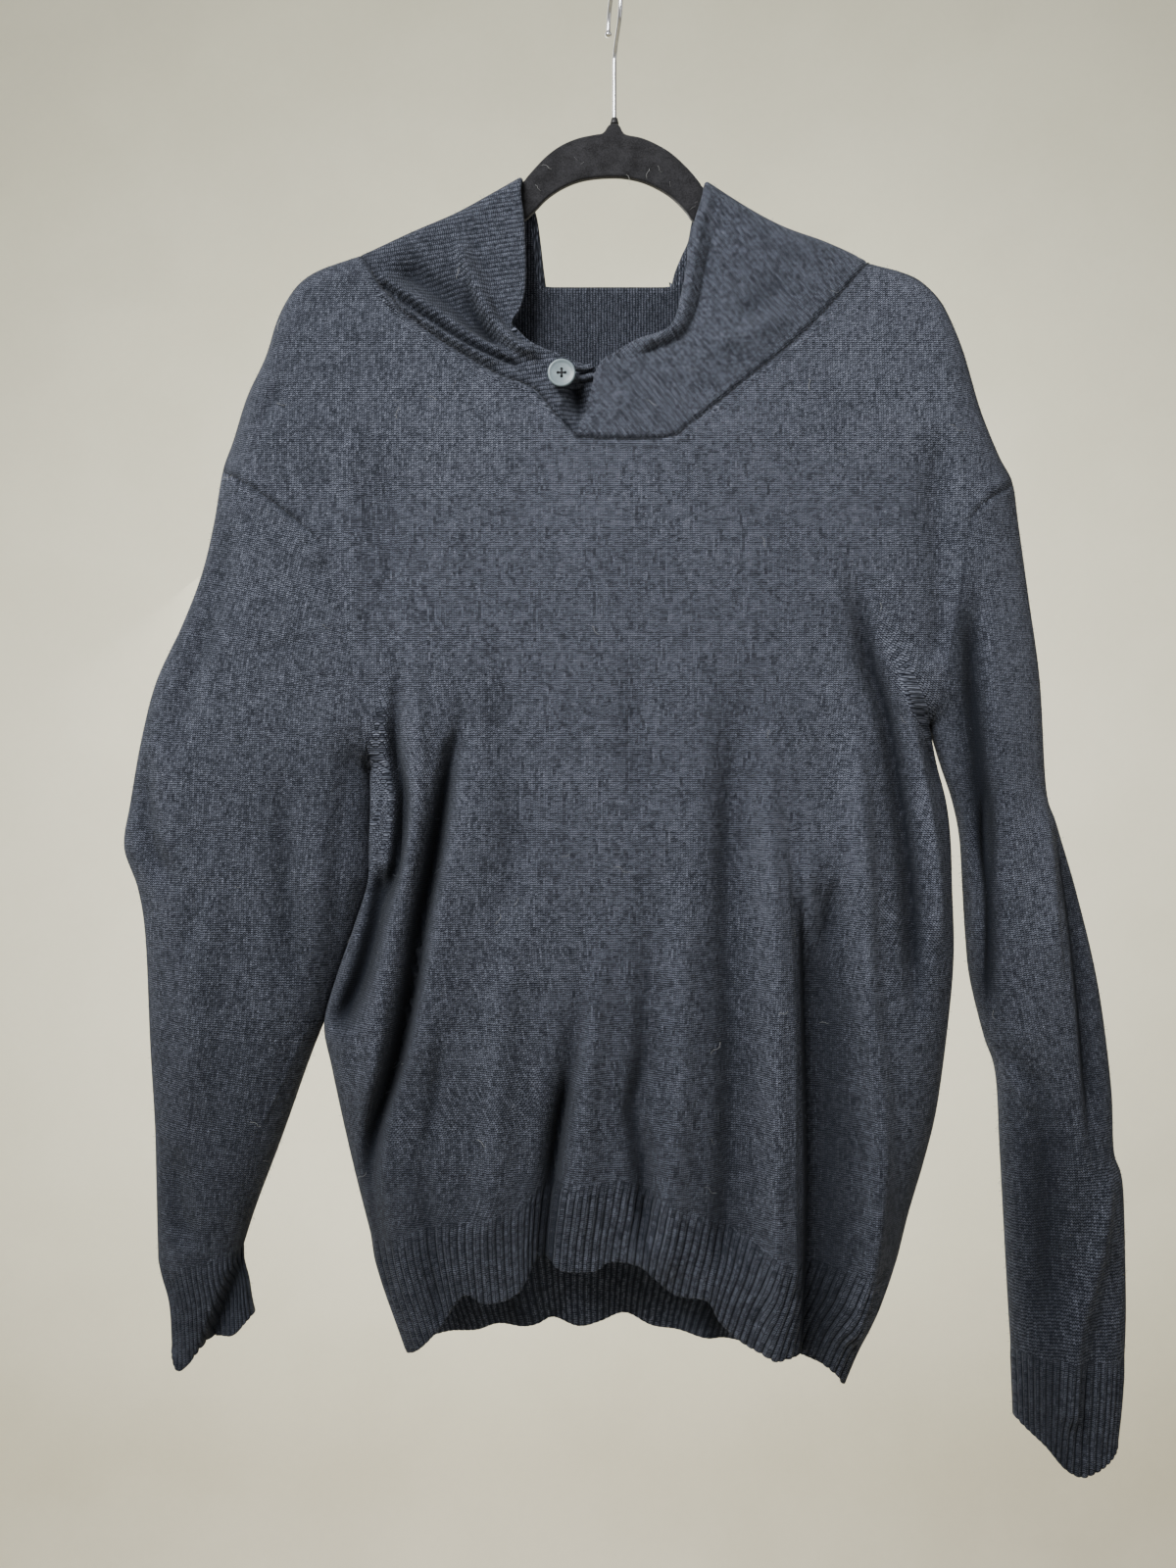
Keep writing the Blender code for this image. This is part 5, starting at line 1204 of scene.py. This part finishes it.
def evaluated_mesh(obj):
    """The object's shape with its modifiers, as a mesh of its own."""
    bpy.context.view_layer.update()
    return bpy.data.meshes.new_from_object(obj.evaluated_get(bpy.context.evaluated_depsgraph_get()))


def face_outwards(mesh, merge=0.0):
    """Points the mesh's faces outwards, after its doubles within the merge distance are joined."""
    body = bmesh.new()
    body.from_mesh(mesh)
    if merge:
        bmesh.ops.remove_doubles(body, verts=body.verts, dist=merge)
    bmesh.ops.recalc_face_normals(body, faces=body.faces)
    body.to_mesh(mesh)
    body.free()


def hanger_outline():
    """The plate's outline: the arch that shows, with an arm under each shoulder."""
    above, below = [spline(ARCH_TOP, 4)], [spline(ARCH_LOW, 4)]
    for hand, collar, shoulder in ((-1, COLLAR_TOP_LEFT, SHOULDER_LEFT),
                                   (1, COLLAR_TOP_RIGHT, SHOULDER_RIGHT)):
        arm = np.vstack([along(spline(collar), np.linspace(0.12, 0.96, ARM_POINTS)),
                         along(spline(shoulder), np.linspace(0.04, 0.2, 5))])
        way = unit_ways(arm)
        down = hand * np.column_stack([way[:, 1], -way[:, 0]])
        drop = np.where(np.arange(len(arm)) < ARM_POINTS, ARM_DROP, ARM_DROP_END)[:, None]
        high, under = arm + drop * down, arm + (drop + ARM_BAND) * down
        tip = high[-1] + 0.5 * ARM_BAND * down[-1] + 0.4 * ARM_BAND * way[-1]
        if hand < 0:
            above.insert(0, high[::-1])
            below.insert(0, np.vstack([tip, under[::-1]]))
        else:
            above.append(high)
            below.append(np.vstack([under, tip]))
    return spline(np.vstack([np.vstack(above), np.vstack(below)[::-1]]), 3)


def make_hanger():
    """The flocked plate, cut from its outline and rounded all along its edge."""
    outline = hanger_outline()
    curve = bpy.data.curves.new("flocked_hanger", "CURVE")
    curve.dimensions = "2D"
    curve.fill_mode = "BOTH"
    curve.extrude = (HANGER_THICKNESS / 2 - HANGER_ROUNDING) * MM
    curve.bevel_depth = HANGER_ROUNDING * MM
    curve.bevel_resolution = 3
    curve.offset = -HANGER_ROUNDING * MM
    line = curve.splines.new("POLY")
    line.points.add(len(outline) - 1)
    for point, (x, z) in zip(line.points, outline):
        point.co = (x * MM, z * MM, 0, 1)
    line.use_cyclic_u = True
    flat = placed("flocked_hanger", curve)
    made = evaluated_mesh(flat)
    bpy.data.objects.remove(flat, do_unlink=True)
    made.transform(Matrix.Rotation(math.pi / 2, 4, "X"))
    face_outwards(made, merge=1e-6)
    made.shade_smooth()
    made.set_sharp_from_angle(angle=math.radians(40))
    return placed("flocked_hanger", made)


def make_hook():
    """A straight stem, then a round hook turned square to the hanger, which ends in a ball."""
    radius, middle = (HOOK_INNER + WIRE) / 2, -HOOK_INNER / 2
    path = [(0, STEM_FOOT), (0, STEM_TOP - 20), (0, STEM_TOP), (-1.2, STEM_TOP + 4.5), (-4.5, STEM_TOP + 8.5)]
    bend = np.radians(np.linspace(*HOOK_BEND, 15))
    path += [(-radius * math.sin(a), middle - radius * math.cos(a)) for a in bend]
    y, z = path[-1]
    path.append((y, z - 3.6))
    turn = math.radians(HOOK_TURN)
    shares = np.linspace(0, 1, 150)
    points = [(-y * math.sin(turn), y * math.cos(turn), z) for y, z in along(spline(path, 8), shares)]
    from_end = (1 - shares) * WIRE_LENGTH
    ball = np.sqrt(np.clip((BALL / 2) ** 2 - (from_end - BALL / 2) ** 2, 0.01, None)) * (from_end < BALL)
    thick = np.where(from_end < BALL / 2, ball, np.maximum(WIRE / 2, ball))
    return cord_mesh("wire_hook", points, thick, sides=20)


def make_button(seat):
    """A dished disc with a rounded rim and four holes set as a diamond, and its floor's height."""
    radius = BUTTON / 2
    well = radius - BUTTON_RIM
    low = LOOP_CORD + 5 * GAP
    high = low + BUTTON_THICK
    floor = high - BUTTON_DISH
    profile = [(0, low), (radius - 2.4, low), (radius - 0.5, low + 0.7), (radius, high - 1.1),
               (radius - 0.25, high - 0.35), (radius - 0.8, high), (well + 0.2, high - 0.05),
               (well - 0.5, floor + 0.15), (well - 1.1, floor), (0, floor + 0.1)]
    obj = turned("sewn_button", profile, 72, False)
    drills = []
    for k in range(4):
        turn = k * math.pi / 2
        at = (HOLE_FROM_MIDDLE * math.cos(turn), -low, HOLE_FROM_MIDDLE * math.sin(turn))
        bpy.ops.mesh.primitive_cylinder_add(vertices=20, radius=HOLE / 2, depth=20, location=at,
                                            rotation=(math.pi / 2, 0, 0))
        drills.append(bpy.context.object)
        cut = obj.modifiers.new(f"Hole {k}", "BOOLEAN")
        cut.object = drills[-1]
    made = evaluated_mesh(obj)
    obj.modifiers.clear()
    obj.data = made
    for drill in drills:
        bpy.data.objects.remove(drill, do_unlink=True)
    shift = np.array([BUTTON_AT[0], seat, BUTTON_AT[1]])
    co = np.array([v.co for v in made.vertices]) + shift
    made.vertices.foreach_set("co", (co * MM).astype(np.float32).ravel())
    made.shade_smooth()
    made.set_sharp_from_angle(angle=math.radians(45))
    return obj, floor


def cord_mesh(name, path, radius, sides=12, ribs=0.0, pitch=1.3):
    """A round cord along a path of points, with ribs across it where ribs is above 0."""
    path = np.asarray(path, float)
    radius = np.broadcast_to(radius, len(path))
    way = unit_ways(path)
    side = np.cross(way[0], [0.3, 1.0, 0.2])
    length = np.concatenate([[0], np.cumsum(np.linalg.norm(np.diff(path, axis=0), axis=1))])
    turns = np.linspace(0, 2 * math.pi, sides, endpoint=False)
    verts, faces, coords = [], [], []
    for k, point in enumerate(path):
        side = side - (side @ way[k]) * way[k]
        side /= np.linalg.norm(side)
        up = np.cross(way[k], side)
        for t in turns:
            lean = 0.25 * math.cos(2 * t)
            swell = 1 + ribs * (abs(math.cos(math.pi * (length[k] / pitch + lean))) ** 0.6 - 0.6)
            verts.append(point + radius[k] * swell * (math.cos(t) * side + math.sin(t) * up))
    for k in range(len(path) - 1):
        for s in range(sides):
            a, b = k * sides + s, k * sides + (s + 1) % sides
            faces.append((a, b, b + sides, a + sides))
            wide = 2 * math.pi * radius[k] / sides
            coords.extend([(s * wide, length[k]), ((s + 1) * wide, length[k]),
                           ((s + 1) * wide, length[k + 1]), (s * wide, length[k + 1])])
    for first, last in ((0, 1), (len(path) - 1, 0)):
        ring = [first * sides + s for s in range(sides)]
        faces.append(ring[::-1] if last else ring)
        coords.extend([(0, length[first])] * sides)
    mesh = bpy.data.meshes.new(name)
    mesh.from_pydata((np.array(verts) * MM).tolist(), [], faces)
    layer = mesh.uv_layers.new(name="knit")
    layer.data.foreach_set("uv", np.array(coords, np.float32).ravel())
    face_outwards(mesh)
    mesh.shade_smooth()
    return placed(name, mesh)


def make_loop(seat):
    """The knitted cord from the right collar end, round the button's shank and back."""
    height = seat - GAP - LOOP_CORD / 2
    x0, z0 = BUTTON_AT
    x1, z1 = LOOP_REACH
    half = LOOP_SPREAD / 2

    def strand(shares, lift):
        return [(x1 + share * (x0 - x1), z1 + share * (z0 - z1) + lift) for share in shares]

    bight = np.radians(np.linspace(90, 270, 9))
    path = strand((0, 0.35, 0.7), half)
    path += [(x0 + half * math.cos(a), z0 + half * math.sin(a)) for a in bight]
    path += strand((0.7, 0.35, 0), -half)
    points = []
    for x, z in path:
        under = clear_depth(collar_left_form, x, z, 0.8 * LOOP_CORD) - GAP - LOOP_CORD / 2
        points.append((x, min(height, under) if x < x0 + 6 else under, z))
    fine = along(spline(points, 12), np.linspace(0, 1, 190))
    return cord_mesh("knitted_loop", fine, LOOP_CORD / 2, sides=16, ribs=0.3)


def make_threads(seat, floor):
    """Two strands each way through the button's holes, as a cross."""
    threads = []
    reach = HOLE_FROM_MIDDLE + 0.2
    for k in range(2):
        turn = k * math.pi / 2
        for side in (-THREAD_SPREAD, THREAD_SPREAD):
            line = []
            for t in np.linspace(-1, 1, 15):
                rise = floor - 0.9 + 1.25 * math.sqrt(max(0, 1 - t**4)) + 0.15 * k
                x = reach * t * math.cos(turn) - side * math.sin(turn)
                z = reach * t * math.sin(turn) + side * math.cos(turn)
                line.append((BUTTON_AT[0] + x, seat - rise, BUTTON_AT[1] + z))
            threads.append(cord_mesh(f"button_thread_{len(threads)}", line, THREAD / 2, sides=8))
    return threads


dress(make_hanger(), flock, "flock", "hanger")
dress(make_hook(), wire_finish, "wire", "hook")
grommet = turned("neck_grommet", GROMMET, 40, True)
grommet.data.transform(Matrix.Scale(MM, 4))
dress(grommet, grommet_finish, "grommet", "grommet")

seat = clear_depth(collar_left_form, *BUTTON_AT, BUTTON / 4)
button, button_floor = make_button(seat)
loop = make_loop(seat)
dress(button, button_finish, "button", "button")
dress(loop, cord_wool, "cord", "button_loop")
for thread in make_threads(seat, button_floor):
    dress(thread, thread_finish, "thread")


# ---------------------------------------------------------------- stitches, fuzz and lint


def repeater(name, on_line):
    """Copies of one small object along a line or over a surface, each turned and sized by chance."""
    tree = bpy.data.node_groups.new(name, "GeometryNodeTree")
    for label, kind in (("Base", "Geometry"), ("Copy", "Object"), ("Rate", "Float"), ("Lean", "Float"),
                        ("Least", "Float"), ("Most", "Float"), ("Seed", "Int"), ("Finish", "Material")):
        tree.interface.new_socket(label, in_out="INPUT", socket_type="NodeSocket" + kind)
    tree.interface.new_socket("Copies", in_out="OUTPUT", socket_type="NodeSocketGeometry")
    n = Nodes(tree)
    put = n.add("NodeGroupInput").outputs
    if on_line:
        line = n.add("GeometryNodeMeshToCurve", put["Base"])
        spots = n.add("GeometryNodeCurveToPoints", line.outputs[0], mode="LENGTH")
        n.feed(spots.inputs["Length"], put["Rate"])
    else:
        spots = n.add("GeometryNodeDistributePointsOnFaces", put["Base"])
        n.feed(spots.inputs["Density"], put["Rate"])
        n.feed(spots.inputs["Seed"], put["Seed"])
    back = n.math("MULTIPLY", put["Lean"], -1.0)
    least = n.add("ShaderNodeCombineXYZ", back, back, -math.pi).outputs[0]
    most = n.add("ShaderNodeCombineXYZ", put["Lean"], put["Lean"], math.pi).outputs[0]
    turn = n.add("FunctionNodeRandomValue", least, most, data_type="FLOAT_VECTOR")
    n.feed(turn.inputs["Seed"], put["Seed"])
    size = n.add("FunctionNodeRandomValue", data_type="FLOAT")
    n.feed(size.inputs[2], put["Least"])
    n.feed(size.inputs[3], put["Most"])
    n.feed(size.inputs["Seed"], put["Seed"])
    euler = n.add("FunctionNodeEulerToRotation", turn.outputs[0])
    turned_by = n.add("FunctionNodeRotateRotation", spots.outputs["Rotation"], euler.outputs[0],
                      rotation_space="LOCAL")
    copy = n.add("GeometryNodeObjectInfo", put["Copy"])
    place = n.add("GeometryNodeInstanceOnPoints", spots.outputs["Points"])
    n.feed(place.inputs["Instance"], copy.outputs["Geometry"])
    n.feed(place.inputs["Rotation"], turned_by.outputs[0])
    n.feed(place.inputs["Scale"], size.outputs[1])
    real = n.add("GeometryNodeRealizeInstances", place.outputs[0])
    done = n.add("GeometryNodeSetMaterial", real.outputs[0])
    n.feed(done.inputs["Material"], put["Finish"])
    n.add("NodeGroupOutput", done.outputs[0])
    return tree


def repeated(name, tree, base, copy, finish, slot, **settings):
    """A piece made of the tree's copies on the base mesh."""
    obj = placed(name, base)
    maker = obj.modifiers.new("Repeat", "NODES")
    maker.node_group = tree
    values = dict(settings, Copy=copy, Finish=finish)
    for item in tree.interface.items_tree:
        if item.in_out == "INPUT" and item.name in values:
            maker[item.identifier] = values[item.name]
    made = evaluated_mesh(obj)
    obj.modifiers.clear()
    obj.data = made
    made.shade_smooth()
    return dress(obj, finish, slot)


def line_mesh(name, lines):
    """Lines of points, in millimetres, as a mesh of edges alone."""
    verts, edges = [], []
    for line in lines:
        edges += [(len(verts) + k, len(verts) + k + 1) for k in range(len(line) - 1)]
        verts += [tuple(MM * float(c) for c in point) for point in line]
    mesh = bpy.data.meshes.new(name)
    mesh.from_pydata(verts, edges, [])
    return mesh


def surface_mesh(name, names):
    """The outer faces of some pieces, as the place where fibres grow."""
    verts, faces = [], []
    for piece in names:
        grid = surfaces[piece]
        rows, cols = grid.shape[:2]
        base = len(verts)
        verts += [tuple(point) for point in (grid.reshape(-1, 3) * MM).tolist()]
        flip = piece not in ("knit_back", "rib_hem_back")
        for r in range(rows - 1):
            for c in range(cols - 1):
                k = base + r * cols + c
                corners = (k, k + 1, k + cols + 1, k + cols)
                faces.append(corners[::-1] if flip else corners)
    mesh = bpy.data.meshes.new(name)
    mesh.from_pydata(verts, [], faces)
    return mesh


def on_form(form, line, lift, step):
    """Points along a seam, on the form's surface and a little in front of it."""
    points = along(line, np.linspace(0, 1, max(3, int(line_length(line) / step))))
    return np.column_stack([points[:, 0], form.depth(points) + form.facing * lift, points[:, 1]])


on_lines = repeater("Along a line", True)
on_faces = repeater("Over a surface", False)

def make_stitch():
    """One link of the seams' yarn, pointed at both ends."""
    stitch = turned("stitch", [(0, -1.25), (0.4, -0.9), (0.62, 0), (0.4, 0.9), (0, 1.25)], 7, True)
    stitch.data.transform(Matrix.Scale(MM, 4))
    return stitch


def make_fibre(name, path, thickness, points):
    """One loose hair, bent through the path's points."""
    return cord_mesh(name, along(spline(path), np.linspace(0, 1, points)), thickness / 2, sides=3)


def hanger_face(points=30):
    """The arch's front face, as the place where its lint lies."""
    shares = np.linspace(0.05, 0.95, points)
    arch = [along(spline(line, 4), shares) for line in (ARCH_TOP, ARCH_LOW)]
    mesh = bpy.data.meshes.new("plate")
    mesh.from_pydata([(x * MM, -HANGER_THICKNESS / 2 * MM, z * MM) for line in arch for x, z in line], [],
                     [(k, points + k, points + k + 1, k + 1) for k in range(points - 1)])
    return mesh


stitch = make_stitch()
hair = make_fibre("hair", [(0, 0, -0.2), (0.6, 0.1, 0.4), (1.4, 0.1, 0.9), (2.2, 0.5, 1.1)], 0.14, 4)
long_lint = make_fibre("long_lint", [(0, 0, 0.1), (1.6, 0.5, 0.6), (3.4, 0.2, 0.9), (5.0, -0.9, 0.7),
                                     (6.2, -0.5, 0.4)], 0.14, 12)
curled_lint = make_fibre("curled_lint", [(0, 0, 0.1), (1.8, 1.0, 0.6), (4.0, 0.9, 0.9), (6.2, -0.6, 0.8),
                                         (8.6, -0.9, 0.6), (11.0, 0.8, 0.5)], 0.16, 12)

# The stretches of each seam whose stitches show, as places along its fine line, and their lift off the cloth
seams = [on_form(form, spline(line)[first:last], lift, 1.0) for form, line, first, last, lift in (
    (front_form, NECK_LEFT, 8, -6, 0.2), (front_form, NECK_RIGHT, 0, None, 0.2),
    (front_form, ARMHOLE_LEFT, 3, 26, 0.0), (front_form, ARMHOLE_RIGHT, 3, 18, 0.0),
    (back_form, NECK_BACK, 4, -4, 0.2), (back_form, ARMHOLE_LEFT, 3, -4, 0.0),
    (back_form, ARMHOLE_RIGHT, 3, -4, 0.0))]
edges = [[(x, 0.0, z) for x, z in line] for line in
         (outline_left, outline_right, side_left[20:], side_right[20:], inner_left[20:], inner_right[20:])]
cloth = surface_mesh("cloth", ["knit_front", "knit_back", "knit_sleeve_left", "knit_sleeve_right",
                               "rib_hem_front", "rib_cuff_left", "rib_cuff_right", "rib_collar_left",
                               "rib_collar_right"])

repeated("seam_stitches", on_lines, line_mesh("seams", seams), stitch, stitch_yarn, "jersey",
         Rate=2.9 * MM, Lean=0.42, Least=0.7, Most=1.15, Seed=3)
repeated("edge_fuzz", on_lines, line_mesh("edges", edges), hair, fuzz_finish, "jersey",
         Rate=0.9 * MM, Lean=0.7, Least=0.5, Most=1.3, Seed=5)
repeated("knit_fuzz", on_faces, cloth.copy(), hair, fuzz_finish, "jersey",
         Rate=2600.0, Lean=0.5, Least=0.5, Most=1.3, Seed=7)
repeated("lint_long", on_faces, cloth.copy(), long_lint, lint_finish, "jersey",
         Rate=110.0, Lean=0.12, Least=0.35, Most=1.3, Seed=11)
repeated("lint_curled", on_faces, cloth.copy(), curled_lint, lint_finish, "jersey",
         Rate=30.0, Lean=0.1, Least=0.4, Most=1.2, Seed=13)
repeated("hanger_lint", on_faces, hanger_face(), long_lint, lint_finish, "flock",
         Rate=5200.0, Lean=0.15, Least=0.15, Most=1.3, Seed=19)
for pattern in (stitch, hair, long_lint, curled_lint):
    bpy.data.objects.remove(pattern, do_unlink=True)


# ---------------------------------------------------------------- the studio


def make_backdrop():
    """A pale wall that curves forward into the floor, far enough behind for a view of the garment's back."""
    wall_y, floor_z, bend = 1.9, -2.4, 0.4
    profile = [(wall_y, 2.2), (wall_y, 1.0), (wall_y, -0.6)]
    for a in np.linspace(0, math.pi / 2, 14):
        profile.append((wall_y - bend * (1 - math.cos(a)), floor_z + bend * (1 - math.sin(a))))
    profile += [(0.2, floor_z), (-3.2, floor_z)]
    width = 4.0
    verts = [(x, y, z) for y, z in profile for x in (-width, width)]
    faces = [(2 * k, 2 * k + 1, 2 * k + 3, 2 * k + 2) for k in range(len(profile) - 1)]
    mesh = bpy.data.meshes.new("backdrop")
    mesh.from_pydata(verts, [], faces)
    mesh.shade_smooth()
    mesh.materials.append(backdrop_paper())
    return placed("backdrop", mesh)


def backdrop_paper():
    """Pale warm paper, a little mottled, painted lighter in the middle of the wall, where it makes up for the
    light falling off.
    """
    finish, n, shader = new_finish("Pale studio paper", (0.8, 0.8, 0.8))
    spot = n.add("ShaderNodeTexCoord").outputs["Object"]
    fine = n.math("MULTIPLY", n.noise(spot, 60.0, 6.0), 0.5)
    mottle = n.math("MULTIPLY_ADD", n.ramp(n.noise(spot, 5.0, 5.0), 0.3, 0.7), 0.5, fine)
    height = n.add("ShaderNodeSeparateXYZ", spot).outputs[2]
    upper = n.blend(mottle, (0.76, 0.735, 0.56), (0.84, 0.815, 0.63))
    lower = n.blend(mottle, (0.84, 0.80, 0.62), (0.92, 0.88, 0.69))
    foot = n.blend(mottle, (0.72, 0.67, 0.51), (0.80, 0.75, 0.58))
    wall = n.blend(n.ramp(height, 0.80, -0.60), upper, lower)
    n.feed(shader.inputs["Base Color"], n.blend(n.ramp(height, -1.4, -2.1), wall, foot))
    set_inputs(shader, {"Roughness": 0.95, "Specular IOR Level": 0.1})
    return finish


make_backdrop()


def area_light(name, place, target, size, power):
    """A soft light panel at a place, turned to its target, which the camera doesn't see."""
    light = bpy.data.lights.new(name, "AREA")
    light.shape = "RECTANGLE"
    light.size, light.size_y = size
    light.energy = power
    obj = placed(name, light)
    obj.location = place
    obj.rotation_euler = (Vector(target) - Vector(place)).to_track_quat("-Z", "Y").to_euler()
    obj.visible_camera = False


area_light("Key", (-0.58, -0.98, 0.32), (0.0, 0.0, -0.42), (0.65, 0.65), 34.5)
area_light("Side", (1.3, -1.1, -0.3), (0.0, 0.0, -0.5), (0.8, 1.4), 4)
area_light("Wall", (0.0, 0.55, -0.55), (0.0, 1.9, -0.55), (2.6, 2.6), 42)
area_light("Behind", (-0.7, 1.6, 0.5), (0.0, 0.0, -0.5), (1.4, 1.4), 20)

world = bpy.data.worlds.new("Studio")
world.use_nodes = True
set_inputs(world.node_tree.nodes["Background"], {"Color": (1.0, 0.98, 0.95, 1), "Strength": 0.345})
bpy.context.scene.world = world

lens = bpy.data.cameras.new("Photo camera")
lens.sensor_fit = "VERTICAL"
lens.angle = math.radians(CAMERA_ANGLE)
lens.clip_start = 0.02
camera = placed("Photo camera", lens)
camera.location = CAMERA_AT
camera.rotation_euler = (math.pi / 2, 0, 0)
bpy.context.scene.camera = camera
